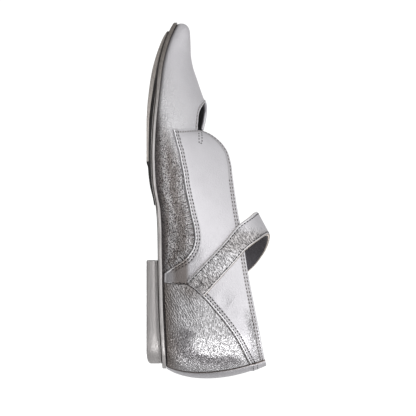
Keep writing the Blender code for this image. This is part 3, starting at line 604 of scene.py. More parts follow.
class Side:
    """Finds places on one side of the wall from their position in side view."""

    def __init__(self, medial):
        self.medial = medial
        stations, heights = np.meshgrid(np.linspace(*SEARCH_STATIONS), np.linspace(*SEARCH_HEIGHTS))
        self.marks = np.stack([stations.ravel(), heights.ravel()], axis=-1)
        self.seen = self.point(self.marks)[:, [0, 2]]
        self.strip = self.at_sole(STRIP_BASE_X)[0], self.at_edge(STRIP_TOP_X)[0]

    def place(self, station):
        """Place round the shoe of a station on this side."""
        return 2.0 - station if self.medial else station

    def point(self, spots):
        """Points of the wall at rows of (station, height)."""
        return wall(self.place(spots[..., 0]), spots[..., 1])

    def normal(self, spots):
        """Outward directions at rows of (station, height)."""
        return wall_normal(self.place(spots[..., 0]), spots[..., 1])

    def find(self, seen):
        """Stations and heights of the wall points seen at rows of (x, z)."""
        seen = np.atleast_2d(np.asarray(seen, float))
        nearest = [np.argmin(np.sum((self.seen - row) ** 2, axis=1)) for row in seen]
        spots = self.marks[nearest]
        for _ in range(FIND_ROUNDS):
            here = self.point(spots)[:, [0, 2]]
            slope = np.stack([(self.point(spots + step)[:, [0, 2]] - here) / PLACE_STEP
                              for step in ((PLACE_STEP, 0), (0, PLACE_STEP))], axis=-1)
            spots = spots + np.linalg.solve(slope, (seen - here)[..., None])[..., 0]
            spots = np.clip(spots, LEAST_SPOT, MOST_SPOT)
        return spots

    def at_sole(self, x):
        """Foot of a panel at x along the shoe."""
        station = station_at(x, lambda u: self.point(np.array([u, 0.0]))[0], 0.0, 1.0)
        return np.array([station, OVERLAY_FOOT])

    def at_edge(self, x):
        """Free edge of the wall at x along the shoe."""
        station = station_at(x, lambda u: self.point(np.array([u, 1.0]))[0], APEX_PLACE, 1.0)
        return np.array([station, 1.0])

    def strip_edge(self, height):
        """Station of the back strip's edge at a height."""
        base, top = self.strip
        return base + (top - base) * height


LATERAL, MEDIAL = Side(False), Side(True)
SIDES = (("lateral", LATERAL), ("medial", MEDIAL))


def arc_lengths(points):
    """Running length along rows of points, over the second last axis."""
    steps = np.linalg.norm(np.diff(points, axis=-2), axis=-1)
    return np.concatenate([np.zeros(steps.shape[:-1] + (1,)), np.cumsum(steps, axis=-1)], axis=-1)


def interpolated(ticks, run, rows):
    """Rows of values read at ticks along their running length."""
    return np.stack([np.interp(ticks, run, values) for values in np.transpose(rows)], axis=-1)


def edge_spaced(length, spacing, count=None):
    """Distances from 0 to length, close together at both ends where an edge is rounded.

    count: how many there are, if the spacing doesn't say.
    """
    near = np.minimum(np.array(EDGE_STEPS), EDGE_SHARE * length)
    middle = 1 + max(2, math.ceil((length - 2 * near[-1]) / spacing))
    if count is not None:
        middle = count - 2 * (len(near) - 1)
    between_ends = np.linspace(near[-1], length - near[-1], middle)
    return np.concatenate([near[:-1], between_ends, length - near[-2::-1]])


def trace(spots):
    """A smooth dense row of places on the wall through the given ones."""
    ticks = np.arange(len(spots))
    fine = np.linspace(0, len(spots) - 1, (len(spots) - 1) * TRACE_STEPS + 1)
    return np.stack([Curve(ticks, np.array(spots)[:, axis])(fine) for axis in (0, 1)], axis=-1)


def seam_row(side, seam):
    """Dense row of places along a seam given in side view."""
    spots = [side.at_sole(x) if z is SOLE else side.find((x, z))[0] for x, z in seam]
    return trace(spots)


def shift_row(side, row, distance):
    """A row of places moved towards the toe and the collar, in side view."""
    seen = side.point(row)[:, [0, 2]]
    along = unit(np.gradient(seen, axis=0))
    shifted = side.find(seen + distance * np.stack([along[:, 1], -along[:, 0]], axis=-1))
    shifted[:, 1] = np.maximum(shifted[:, 1], OVERLAY_FOOT)
    return shifted


def strip_end(side, height):
    """Where a side panel stops, just short of the back strip."""
    first, last = STRIP_STATIONS
    ends = np.array([[first, STRIP_LEVEL], [last, STRIP_LEVEL]])
    run = np.linalg.norm(np.diff(side.point(ends), axis=0))
    return np.array([side.strip_edge(height) - SEAM_GAP * (last - first) / run, height])


def crease_lift(points, creases):
    """Height of soft ridges and troughs, each a line in side view, at the points."""
    lift = np.zeros(points.shape[:-1])
    seen = points[..., [0, 2]]
    for x0, z0, x1, z1, width, height in creases:
        start, run = np.array([x0, z0]), np.array([x1 - x0, z1 - z0])
        t = np.clip(((seen - start) @ run) / (run @ run), 0.0, 1.0)
        away = np.linalg.norm(seen - start - t[..., None] * run, axis=-1)
        fade = np.sqrt(np.sin(np.pi * np.clip(t, *CREASE_ENDS)))
        lift += height * np.exp(-(away / width) ** 2) * fade
    return lift


def rounded(distance, radius):
    """Share of the full thickness at a distance from a rounded edge."""
    near = np.clip(distance / radius, 0.0, 1.0)
    return np.sqrt(1.0 - (1.0 - near) ** 2)


def slant(edge, inside):
    """How squarely columns of a panel meet its edge: 1 where they stand at right angles to it."""
    along, across = np.gradient(edge, axis=0), inside - edge
    lengths = np.linalg.norm(along, axis=1) * np.linalg.norm(across, axis=1)
    return np.maximum(np.linalg.norm(np.cross(along, across), axis=1) / lengths, LEAST_SLANT)


class Panel:
    """A leather panel that lies on one side of the wall, between a lower and an upper row of places."""

    def __init__(self, side, lower, upper, front=None):
        self.side = side
        run = np.maximum(arc_lengths(side.point(lower)), arc_lengths(side.point(upper)))
        self.length = run[-1]
        self.along = edge_spaced(self.length, PANEL_SPACING)
        low, high = [interpolated(self.along, run, row) for row in (lower, upper)]
        shares = np.linspace(0.0, 1.0, PANEL_SHARES)
        spots = low[:, None] + (high - low)[:, None] * shares[:, None]
        if front is not None:
            bent = interpolated(shares, np.linspace(0, 1, len(front)), front)
            fade = np.clip(1.0 - self.along / FRONT_BLEND, 0.0, 1.0)
            spots = spots + fade[:, None, None] * (bent - spots[0])
        self.spots = spots
        points = side.point(spots)
        self.depth = arc_lengths(points)
        self.slants = slant(points[:, 0], points[:, 1]), slant(points[:, -1], points[:, -2])

    def row_at(self, distances):
        """Places along the panel at one distance from its lower edge for each column."""
        shares = np.linspace(0.0, 1.0, self.spots.shape[1])
        places = []
        for spots, depth, distance in zip(self.spots, self.depth, distances):
            places.append(interpolated(np.interp(distance, depth, shares), shares, spots))
        return np.array(places)

    def grid(self):
        """Places of the panel's mesh, and each one's distance from its nearest edge and its lower edge."""
        lengths = self.depth[:, -1]
        count = len(edge_spaced(lengths.max(), PANEL_SPACING))
        depths = np.array([edge_spaced(length, PANEL_SPACING, count) for length in lengths])
        places = np.stack([self.row_at(distances) for distances in depths.T], axis=1)
        away = np.minimum(depths, lengths[:, None] - depths)
        ends = np.minimum(self.along, self.length - self.along)
        return places, np.minimum(away, ends[:, None]), depths


def squares(index):
    """Four-sided faces between the neighbours in a grid of point numbers."""
    corners = [index[:-1, :-1], index[1:, :-1], index[1:, 1:], index[:-1, 1:]]
    return np.stack(corners, axis=-1).reshape(-1, 4)


def shell(outside, inside):
    """Points and faces of a solid between two grids of points with the same rows and columns."""
    rows, columns = outside.shape[:2]
    under = rows * columns
    index = np.arange(under).reshape(rows, columns)
    square = squares(index)
    border = np.concatenate([index[:, 0], index[-1, 1:], index[-2::-1, -1], index[0, -2:0:-1]])
    after = np.roll(border, -1)
    side = np.stack([border, border + under, after + under, after], axis=-1)
    faces = np.concatenate([square, square[:, ::-1] + under, side])
    return np.concatenate([outside.reshape(-1, 3), inside.reshape(-1, 3)]), faces.tolist()


def add_piece(name, points, faces, material, stands_for, marks=None):
    """A mesh of the shoe that rides the body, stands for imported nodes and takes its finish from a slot.

    marks: distances in millimetres that its finish reads, by name, or a function that measures them.
    """
    mesh = bpy.data.meshes.new(name)
    mesh.from_pydata(((np.asarray(points) - SHIFT) * MM).tolist(), [], faces)
    surface = bmesh.new()
    surface.from_mesh(mesh)
    if not isinstance(marks, dict):
        bmesh.ops.remove_doubles(surface, verts=surface.verts, dist=MERGE_REACH)
    bmesh.ops.recalc_face_normals(surface, faces=surface.faces)
    surface.to_mesh(mesh)
    surface.free()
    mesh.shade_smooth()
    mesh.set_sharp_from_angle(angle=math.radians(SHARP_EDGE_DEG))
    made = np.array([vertex.co for vertex in mesh.vertices]) / MM + SHIFT
    kept = {"above_sole": made[:, 2] - FEATHER_Z(made[:, 0])}
    if marks:
        kept.update(marks if isinstance(marks, dict) else marks(made))
    for mark_name, values in kept.items():
        layer = mesh.attributes.new(mark_name, "FLOAT", "POINT")
        layer.data.foreach_set("value", np.asarray(values, dtype=np.float32).ravel())
    mesh.materials.append(material)
    piece = bpy.data.objects.new(name, mesh)
    bpy.context.scene.collection.objects.link(piece)
    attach(piece, BODY)
    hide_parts(*stands_for)
    return piece


def both_faces(values):
    """A mark that is the same on the outside and the inside of a shell."""
    return np.concatenate([values.ravel(), values.ravel()])


def seam_marks(points):
    """Distance from the quarter's seam and place along it, both in side view."""
    seam = LATERAL.point(seam_row(LATERAL, QUARTER_SEAM))[:, [0, 2]]
    run = arc_lengths(seam)
    ticks = np.arange(0.0, run[-1], SEAM_STEP)
    nearest = KDTree(len(ticks))
    for i, (x, z) in enumerate(interpolated(ticks, run, seam)):
        nearest.insert((x, 0.0, z), i)
    nearest.balance()
    found = [nearest.find((x, 0.0, z)) for x, _, z in points]
    return {"from_seam": [distance for _, _, distance in found],
            "along_seam": [ticks[i] for _, i, _ in found]}


def wall_stations(spacing):
    """Stations of one side of the upper, at most the spacing apart at the sole and the edge."""
    fine = np.linspace(0.0, 1.0, WALL_SAMPLES)
    run = np.maximum(arc_lengths(wall(fine, 0.0)), arc_lengths(wall(fine, 1.0)))
    count = math.ceil(run[-1] / spacing)
    stations = np.interp(np.linspace(0, run[-1], count + 1), run, fine)
    nearest = np.argmin(np.abs(stations - APEX_PLACE))
    stations[nearest] = APEX_PLACE
    return stations


def wall_layer(outer, inner, spacing, rows, creases=()):
    """Points and faces of one layer of the upper's wall, from the feather line to the free edge."""
    stations = wall_stations(spacing)
    heights = np.linspace(0.0, 1.0, rows + 1)
    last = len(stations) - 1
    apex = int(np.argmin(np.abs(stations - APEX_PLACE)))
    count = (last + 1) * (rows + 1)
    lateral = np.arange(count).reshape(last + 1, rows + 1)
    medial = lateral + count
    medial[0], medial[last] = lateral[0], lateral[last]
    medial[:apex + 1, rows] = lateral[:apex + 1, rows]
    grid = np.stack(np.meshgrid(stations, heights, indexing="ij"), axis=-1).reshape(-1, 2)
    places = np.concatenate([grid[:, 0], 2.0 - grid[:, 0]])
    levels = np.concatenate([grid[:, 1], grid[:, 1]])
    points, normals = wall(places, levels), wall_normal(places, levels)
    near = np.exp(-((np.arange(last + 1) - apex) / EASE_REACH) ** 2)[1:-1, None]
    share = (near * np.clip((EASE_TOP - heights) / (1.0 - EASE_TOP), 0.0, 1.0))[..., None]
    for part in (points, normals):
        sides = part.reshape(2, last + 1, rows + 1, 3)
        for _ in range(EASE_ROUNDS if creases else 0):
            sides[:, 1:-1] += share * (0.5 * (sides[:, 2:] + sides[:, :-2]) - sides[:, 1:-1])
    ridge = lateral[:apex + 1, rows]
    normals[ridge] += normals[ridge + count]
    normals[lateral[0]] += normals[lateral[0] + count]
    normals = unit(normals)
    outside = points + (outer + crease_lift(points, creases))[:, None] * normals
    inside = points + inner * normals
    used, packed = np.unique(np.concatenate([lateral.ravel(), medial.ravel()]), return_inverse=True)
    lateral, medial = packed.reshape(2, last + 1, rows + 1)
    total = len(used)
    faces = []
    for index, turn in ((lateral, 1), (medial, -1)):
        square = squares(index)
        faces += [square[:, ::turn], square[:, ::-turn] + total]
    for row, first in ((0, 0), (rows, apex)):
        loop = np.concatenate([lateral[first:, row], medial[last - 1:first:-1, row]])
        after = np.roll(loop, -1)
        faces.append(np.stack([loop, after, after + total, loop + total], axis=-1))
    return np.concatenate([outside[used], inside[used]]), np.concatenate(faces).tolist()


def panel_shell(panel, troughs, creases):
    """Points, faces and edge distances of a panel with rounded edges, sewn troughs and soft creases."""
    spots, edge, depth = panel.grid()
    normals = panel.side.normal(spots)
    base = panel.side.point(spots)
    lift = SEATED + (PANEL_LIFT - SEATED) * rounded(edge, FOLD_RADIUS)
    low, high = [row[:, None] for row in panel.slants]
    from_low, from_high = depth * low, (panel.depth[:, -1:] - depth) * high
    for distance in troughs:
        for away in (from_low - distance, from_high - distance):
            lift = lift - TROUGH_DEPTH * np.exp(-(away / TROUGH_WIDTH) ** 2) * rounded(edge, FOLD_RADIUS)
    lift = lift + crease_lift(base, creases) * rounded(edge, CREASE_EDGE)
    outside = base + lift[..., None] * normals
    inside = base - SEATED * normals
    points, faces = shell(outside, inside)
    top = np.minimum(from_high, panel.along[:, None])
    return points, faces, {"from_edge": both_faces(edge), "from_top": both_faces(top),
                           "from_seam": both_faces(from_low)}


def sew(rows):
    """Points and faces of stitches along rows of (points, outward directions)."""
    ring = np.linspace(0, 2 * math.pi, STITCH_SIDES + 1)[:-1]
    shares = np.array([share for share, _ in STITCH_PROFILE])
    points, faces = [], []
    for path, normals in rows:
        run = arc_lengths(path)
        for start in np.arange(STITCH_GAP, run[-1] - STITCH_LENGTH, STITCH_LENGTH + STITCH_GAP):
            here = interpolated(start + shares * STITCH_LENGTH, run, path)
            out = unit(interpolated(start + 0.5 * STITCH_LENGTH, run, normals))
            across = unit(np.cross(here[-1] - here[0], out))
            first = len(points)
            for (share, thick), spot in zip(STITCH_PROFILE, here):
                sink = STITCH_SINK * (2 * share - 1) ** 4
                for turn in ring:
                    reach = math.cos(turn) * across + STITCH_FLAT * math.sin(turn) * out
                    points.append(spot + STITCH_THICK * thick * reach - sink * out)
            for start_point in range(first, len(points) - STITCH_SIDES, STITCH_SIDES):
                for j in range(STITCH_SIDES):
                    a, b = start_point + j, start_point + (j + 1) % STITCH_SIDES
                    faces.append([a, b, b + STITCH_SIDES, a + STITCH_SIDES])
            faces.append(list(range(first, first + STITCH_SIDES))[::-1])
            faces.append(list(range(len(points) - STITCH_SIDES, len(points))))
    return np.array(points), faces


def panel_row(panel, distance, from_top=False, first=0.0):
    """Path on a panel at a distance from its lower or upper edge, from a share of its length on."""
    low, high = panel.slants
    depth = panel.depth[:, -1] - distance / high if from_top else distance / low
    spots = panel.row_at(depth)[panel.along >= first * panel.length]
    normals = panel.side.normal(spots)
    return panel.side.point(spots) + (PANEL_LIFT - STITCH_SINK) * normals, normals


def clear_of_sole(path, normals):
    """The stretches of a path that keep off the sole."""
    clear = path[:, 2] - FEATHER_Z(path[:, 0]) > SEWN_CLEAR
    stops = np.flatnonzero(np.diff(clear.astype(int))) + 1
    stretches = np.split(np.arange(len(path)), stops)
    return [(path[part], normals[part]) for part in stretches if clear[part[0]] and len(part) > 2]


def panel_column(panel, distance, margin):
    """Path across a panel at a distance from its front end, clear of both edges by the margin."""
    index = int(np.argmin(np.abs(panel.along - distance)))
    depth = panel.depth[index]
    spots = panel.spots[index][(depth >= margin) & (depth <= depth[-1] - margin)]
    normals = panel.side.normal(spots)
    return panel.side.point(spots) + (PANEL_LIFT - STITCH_SINK) * normals, normals


def wall_path(side, seen, lift):
    """Path on the wall through points given in side view, lifted off it."""
    seen = np.array(seen, float)
    run = arc_lengths(seen)
    ticks = np.linspace(0, run[-1], 2 + int(run[-1] / PATH_STEP))
    spots = side.find(interpolated(ticks, run, seen))
    normals = side.normal(spots)
    return side.point(spots) + lift * normals, normals


def make_quarter_panel(side):
    """Smooth panel from the vamp to the back strip, with the free tab and collar as its top edge."""
    front = seam_row(side, QUARTER_SEAM)
    rear = shift_row(side, seam_row(side, COUNTER_SEAM), SEAM_GAP)
    end = strip_end(side, rear[-1][1] + STRIP_SEAM_RISE)
    edge_front = trace([side.at_edge(x) for x in QUARTER_EDGE_X])
    edge_rear = trace([side.at_edge(x) for x in COUNTER_EDGE_X])
    lower = np.concatenate([front, rear, [end]])
    upper = np.concatenate([edge_front, edge_rear, [strip_end(side, 1.0)]])
    return Panel(side, lower, upper)


def make_counter_panel(side):
    """Crackled heel panel under the slanting seam."""
    seam = seam_row(side, COUNTER_SEAM)
    corner = COUNTER_FRONT * TRACE_STEPS
    upper = np.concatenate([seam[corner:], [strip_end(side, seam[-1][1] + STRIP_SEAM_RISE)]])
    sole = trace([side.at_sole(x) for x in COUNTER_SOLE_X])
    lower = np.concatenate([sole, [strip_end(side, OVERLAY_FOOT)]])
    return Panel(side, lower, upper, seam[:corner + 1])


def back_strip_grid():
    """Outside points, inside points, edge distances and normals of the strip over the heel seam."""
    heights = np.concatenate([np.linspace(*rows) for rows in STRIP_ROWS])
    shares = np.array(STRIP_SHARES)
    shares = np.concatenate([shares, 1 - shares[-2::-1]])
    ends = [(LATERAL.strip_edge(h), 2.0 - MEDIAL.strip_edge(h)) for h in heights]
    places = np.array([left + (right - left) * shares for left, right in ends])
    levels = np.broadcast_to(heights[:, None], places.shape)
    base, normals = wall(places, levels), wall_normal(places, levels)
    run = arc_lengths(base)
    edge = np.minimum(run, run[:, -1:] - run)
    tab = TAB_LIFT * (1 / (1 + np.exp(-(base[..., 2] - TAB_FOOT_Z) / TAB_FOOT_REACH)))
    lift = SEATED + (PANEL_LIFT - SEATED + tab) * rounded(edge, FOLD_RADIUS)
    return base + lift[..., None] * normals, base - SEATED * normals, edge, normals


def binding_grid():
    """Rows of points round the keyhole throat: a folded edge with a sewn trough."""
    profile = np.array(BINDING_PROFILE)

    def place(turn):
        station = APEX_PLACE + np.abs(turn) * (1.0 - APEX_PLACE)
        return np.where(turn < 0, station, 2.0 - station)

    turns = np.linspace(-1.0, 1.0, RIM_SAMPLES)
    turns = turns[RIM_X(place(turns)) > BINDING_END_X]
    run = arc_lengths(wall(place(turns), 1.0))
    ticks = np.linspace(0, run[-1], int(run[-1] / BINDING_STEP))
    places = place(np.interp(ticks, run, turns))
    rim, normals = wall(places, 1.0), wall_normal(places, 1.0)
    inward = wall(places, BINDING_INSIDE) - rim
    ends = np.concatenate([[normals[0]] * APEX_REACH, normals, [normals[-1]] * APEX_REACH])
    normals = unit(np.mean([ends[i:i + len(normals)] for i in range(2 * APEX_REACH + 1)], axis=0))
    across = unit(np.cross(normals, np.gradient(rim, axis=0)))
    across *= np.sign(np.sum(across * inward))
    apart = np.clip(np.abs(ticks - np.interp(0.0, turns, run)) / APEX_TAPER, 0.0, 1.0)[:, None]
    full = APEX_LIFT + (1.0 - APEX_LIFT) * apart
    reaches, lifts = [part * np.where(part > 0, full, 1.0) for part in profile.T]
    grid = rim[:, None] + reaches[..., None] * across[:, None] + lifts[..., None] * normals[:, None]
    return grid, normals


def strap_grid():
    """Inner face of the strap as a fine grid, share 0 at its front edge, with outward directions."""
    shares = np.linspace(0.0, 1.0, STRAP_ROWS)
    strands = []
    for share in shares:
        knots = []
        for side, rows in ((LATERAL, STRAP_LATERAL), (None, STRAP_ARCH), (MEDIAL, STRAP_MEDIAL)):
            edges = np.array(rows, float)
            seen = edges[:, 0] + share * (edges[:, 1] - edges[:, 0])
            if side is None:
                knots.append(seen)
                continue
            ticks = np.linspace(0, len(seen) - 1, (len(seen) - 1) * STRAP_WALL_STEPS + 1)
            spots = side.find(interpolated(ticks, range(len(seen)), seen))
            knots.append(side.point(spots) + STRAP_LIFT * side.normal(spots))
        knots = np.concatenate(knots)
        run = arc_lengths(knots)
        ticks = np.linspace(0, run[-1], STRAP_COLUMNS)
        strands.append(np.stack([Curve(run, values, slopes_open)(ticks) for values in knots.T], axis=-1))
    strands = np.array(strands)
    return strands, unit(np.cross(np.gradient(strands, axis=0), np.gradient(strands, axis=1)))


def strap_lifts(base, edge):
    """Cross wrinkles of the strap, strongest low on its outer side, and a sewn trough inside each edge."""
    chance = np.random.default_rng(WRINKLE_SEED)
    lift = np.zeros(base.shape[:2])
    run = np.linspace(0.0, 1.0, base.shape[1])[None, :]
    across = np.linspace(-0.5, 0.5, base.shape[0])[:, None]
    for _ in range(STRAP_WRINKLES):
        middle, lean, centre, reach, width, height = [chance.uniform(*span) for span in WRINKLE_RANGES]
        away = run - middle - lean * (across - centre)
        lift += height * np.exp(-(away / width) ** 2) * np.exp(-((across - centre) / reach) ** 2)
    faded = np.clip((run - WRINKLE_FADE_FROM) / WRINKLE_FADE_OVER, 0.0, 1.0)
    trough = TROUGH_DEPTH * np.exp(-((edge - STRAP_ROW) / TROUGH_WIDTH) ** 2)
    return lift * (1.0 - faded * WRINKLE_FADE_SHARE) * rounded(edge, WRINKLE_EDGE) - trough


def strap_layer(strands, normals, low, high, inset=0.0, bulge=0.0, lifts=None):
    """Points, faces and edge distances of one layer of the strap between two heights off its inner face.

    lifts: a function of its points and their edge distances, for what stands above the layer.
    """
    width = arc_lengths(np.swapaxes(strands, 0, 1))
    ticks = edge_spaced(STRAP_WIDTH - 2 * inset, STRAP_SPACING) + inset
    rows = ticks / STRAP_WIDTH * (len(strands) - 1)
    below = np.clip(rows.astype(int), 0, len(strands) - 2)
    part = (rows - below)[:, None, None]
    base = strands[below] * (1 - part) + strands[below + 1] * part
    out = normals[below] * (1 - part) + normals[below + 1] * part
    scale = np.interp(rows, range(len(strands)), width.mean(axis=0))
    edge = np.minimum(scale - scale[0], scale[-1] - scale)
    lift = low + (high - low) * rounded(edge, FOLD_RADIUS) + bulge * rounded(edge, STRAP_CROWN)
    lift = np.repeat(lift[:, None], base.shape[1], axis=1)
    if lifts is not None:
        lift = lift + lifts(base, edge[:, None])
    points, faces = shell(base + lift[..., None] * out, base + low * out)
    marks = {"from_edge": edge, "from_rear": scale[-1] - scale}
    return points, faces, {name: both_faces(np.repeat(row[:, None], base.shape[1], axis=1))
                           for name, row in marks.items()}


def sole_side(side, margin, rear, front):
    """Places along one side of a sole layer, between its cuts in front and at the rear, if there are any."""
    def reach(station):
        return outline(side.place(np.array(station)), margin)[0][0]

    first = 0.0 if front is None else station_at(front, reach, 0.0, 1.0)
    last = 1.0 if rear is None else station_at(rear, reach, 0.0, 1.0)
    fine = np.linspace(first, last, LOOP_SAMPLES)
    run = arc_lengths(outline(fine, margin)[0])
    return side.place(np.interp(np.linspace(0, run[-1], int(SOLE_PERIMETER / SOLE_SPACING)), run, fine))


def sole_layer(margin, top, bottom, levels, rear, front):
    """Points and faces of a sole layer with rounded rims, cut straight across where rear or front is given.

    levels: rows of (inset from the margin, share of the thickness from the bottom, rise above that share).
    """
    lateral, medial = [sole_side(side, margin, rear, front) for side in (LATERAL, MEDIAL)]
    loop = np.concatenate([lateral, medial[::-1]])
    count, half = len(loop), len(lateral)
    points = []
    for inset, share, rise in levels:
        plan = outline(loop, margin - inset)[0]
        least = -NO_CUT if rear is None else rear + inset
        most = NO_CUT if front is None else front - inset
        x = np.clip(plan[:, 0], least, most)
        z = bottom(x) + share * (top(x) - bottom(x)) + rise
        points.append(np.stack([x, plan[:, 1], z], axis=-1))
    faces = []
    for level in range(len(levels) - 1):
        for i in range(count):
            a, b = level * count + i, level * count + (i + 1) % count
            faces.append([a, b, b + count, a + count])
    for level in (0, len(levels) - 1):
        for i in range(half - 1):
            a = level * count
            faces.append([a + i, a + i + 1, a + count - 2 - i, a + count - 1 - i])
    return np.concatenate(points), faces


def insole_top(x):
    """Height of the sock that the foot stands on."""
    return FEATHER_Z(x) + INSOLE_THICK


def outsole_top(x):
    """Height of the outsole's upper face, just inside the upper's foot."""
    return FEATHER_Z(x) + SEATED


def outsole_bottom(x):
    """Height of the outsole's lower face."""
    return FEATHER_Z(x) - LAYER_GAP - OUTSOLE_THICK


def half_sole_top(x):
    """Height of the joint between the half sole and the tread layer."""
    return TREAD_Z(x) + HALF_SHARE(x) * (outsole_bottom(x) - TREAD_Z(x)) + SEATED


def tread_top(x):
    """Height where the tread layer and the heel meet the outsole."""
    return outsole_bottom(x) + SEATED


def tread_bottom(x):
    """Height of the tread layer's lower face: on the half sole, and free behind it."""
    return np.where(x >= HALF_SOLE_REAR_X, half_sole_top(x) - SEATED, TREAD_Z(x))


def heel_bottom(x):
    """Height of the heel's lower face, which is rounded up at the back."""
    reach = np.clip((HEEL_ROUND_X - x) / HEEL_ROUND_REACH, 0.0, 1.0)
    return HEEL_ROUND_RISE * (1.0 - np.sqrt(1.0 - reach * reach))


def add_node(tree, kind, values=None, **settings):
    """A node with its settings.  values: a number, colour or linked socket for each named input."""
    made = tree.nodes.new(kind)
    for name, value in settings.items():
        setattr(made, name, value)
    for name, value in (values or {}).items():
        if isinstance(value, bpy.types.NodeSocket):
            tree.links.new(value, made.inputs[name])
        else:
            made.inputs[name].default_value = value
    return made


def calculate(tree, operation, *values):
    """Result of a math node on numbers or sockets."""
    return add_node(tree, "ShaderNodeMath", dict(enumerate(values)), operation=operation).outputs[0]


def times(tree, first, second):
    """Product of two numbers or sockets."""
    return calculate(tree, "MULTIPLY", first, second)


def vector_math(tree, operation, *values):
    """Result of a vector node: a number for a distance, a length or a product, otherwise a vector."""
    made = add_node(tree, "ShaderNodeVectorMath", dict(enumerate(values)), operation=operation)
    return made.outputs["Value" if operation in ("DISTANCE", "DOT_PRODUCT", "LENGTH") else "Vector"]


def noise(tree, place, scale, detail):
    """Level of a noise texture."""
    values = {"Vector": place, "Scale": scale, "Detail": detail}
    return add_node(tree, "ShaderNodeTexNoise", values).outputs[0]


def ramp_between(tree, value, low, high):
    """Smooth rise from 0 to 1 while the value goes from low to high."""
    made = add_node(tree, "ShaderNodeMapRange", {"Value": value, "From Min": low, "From Max": high},
                    interpolation_type="SMOOTHSTEP")
    return made.outputs["Result"]


def mix_colour(tree, factor, first, second, blend="MIX"):
    """First colour where the factor is 0, second, or the two blended, where it is 1."""
    return add_node(tree, "ShaderNodeMix", {0: factor, 6: first, 7: second}, data_type="RGBA",
                    blend_type=blend).outputs[2]


def mix_value(tree, factor, first, second):
    """First value where the factor is 0, second where it is 1."""
    return add_node(tree, "ShaderNodeMix", {0: factor, 2: first, 3: second}, data_type="FLOAT").outputs[0]


def new_group(name, inputs, outputs):
    """An empty shader group with named sockets, and its input and output nodes."""
    group = bpy.data.node_groups.new(name, "ShaderNodeTree")
    for socket, kind, default in inputs:
        made = group.interface.new_socket(name=socket, in_out="INPUT", socket_type=kind)
        made.default_value = default
    for socket, kind in outputs:
        group.interface.new_socket(name=socket, in_out="OUTPUT", socket_type=kind)
    return group, group.nodes.new("NodeGroupInput").outputs, group.nodes.new("NodeGroupOutput").inputs


def foil_crackle_group():
    """Creased metal foil on leather: crossing creases and the uneven brightness of the foil between them."""
    group, given, result = new_group(
        "Foil crackle",
        (("Vector", "NodeSocketVector", (0, 0, 0)), ("Crease Size", "NodeSocketFloat", 0.001)),
        (("Height", "NodeSocketFloat"), ("Crease", "NodeSocketFloat"), ("Tone", "NodeSocketFloat")))
    scale = calculate(group, "DIVIDE", 1.0, given["Crease Size"])
    stir = add_node(group, "ShaderNodeTexNoise",
                    {"Vector": given["Vector"], "Scale": times(group, scale, STIR_SHARE), "Detail": 2.0})
    centred = vector_math(group, "SUBTRACT", stir.outputs["Color"], (0.5, 0.5, 0.5))
    reach = times(group, given["Crease Size"], STIR_REACH)
    offset = add_node(group, "ShaderNodeVectorMath", {0: centred, "Scale": reach}, operation="SCALE")
    stirred = vector_math(group, "ADD", given["Vector"], offset.outputs[0])
    folds = noise(group, stirred, scale, 1.0)
    crease = ramp_between(group, folds, *FOLD_LINE)
    plates = noise(group, vector_math(group, "ADD", stirred, PLATES_APART), scale, 2.0)
    tone = ramp_between(group, plates, *PLATE_TONE)
    height = calculate(group, "MULTIPLY_ADD", tone, PLATE_RISE, calculate(group, "SUBTRACT", folds, crease))
    group.links.new(height, result["Height"])
    group.links.new(crease, result["Crease"])
    group.links.new(tone, result["Tone"])
    return group


def leather_grain_group():
    """Fine pebbled grain of finished leather."""
    group, given, result = new_group(
        "Leather grain",
        (("Vector", "NodeSocketVector", (0, 0, 0)), ("Pebble Size", "NodeSocketFloat", 0.0009)),
        (("Height", "NodeSocketFloat"), ("Tone", "NodeSocketFloat")))
    scale = calculate(group, "DIVIDE", 1.0, given["Pebble Size"])
    pebbles = add_node(group, "ShaderNodeTexVoronoi", {"Vector": given["Vector"], "Scale": scale})
    cloud = noise(group, given["Vector"], times(group, scale, CLOUD_SCALE), 3.0)
    fine = times(group, noise(group, given["Vector"], scale, 2.0), GRAIN_FINE)
    dome = calculate(group, "SUBTRACT", 1.0, pebbles.outputs["Distance"])
    group.links.new(calculate(group, "MULTIPLY_ADD", dome, GRAIN_BROAD, fine), result["Height"])
    group.links.new(calculate(group, "MULTIPLY_ADD", cloud, GRAIN_BROAD, fine), result["Tone"])
    return group


def painted_shade_group():
    """Painted shade that fades with a distance from a sole or an edge."""
    group, given, result = new_group(
        "Burnish",
        (("Color", "NodeSocketColor", (1, 1, 1, 1)), ("Dark", "NodeSocketColor", (0, 0, 0, 1)),
         ("Distance", "NodeSocketFloat", 0.0), ("Reach", "NodeSocketFloat", 5.0),
         ("Amount", "NodeSocketFloat", 0.5)),
        (("Color", "NodeSocketColor"),))
    clear = ramp_between(group, given["Distance"], 0.0, given["Reach"])
    mask = times(group, calculate(group, "SUBTRACT", 1.0, clear), given["Amount"])
    group.links.new(mix_colour(group, mask, given["Color"], given["Dark"]), result["Color"])
    return group


def edge_streaks_group():
    """Lengthwise streaks of a trimmed and painted sole edge."""
    group, given, result = new_group(
        "Edge streaks",
        (("Vector", "NodeSocketVector", (0, 0, 0)), ("Streak Size", "NodeSocketFloat", 0.0008)),
        (("Tone", "NodeSocketFloat"), ("Speck", "NodeSocketFloat")))
    scale = calculate(group, "DIVIDE", 1.0, given["Streak Size"])
    drawn = add_node(group, "ShaderNodeMapping", {"Vector": given["Vector"], "Scale": STREAK_DRAW}).outputs[0]
    group.links.new(noise(group, drawn, scale, 4.0), result["Tone"])
    group.links.new(noise(group, given["Vector"], scale, 2.0), result["Speck"])
    return group


def shared(name, build):
    """A shader group, built once."""
    return bpy.data.node_groups.get(name) or build()


def use_group(tree, group, values):
    """A group node placed in a material with its own values."""
    return add_node(tree, "ShaderNodeGroup", values, node_tree=group).outputs


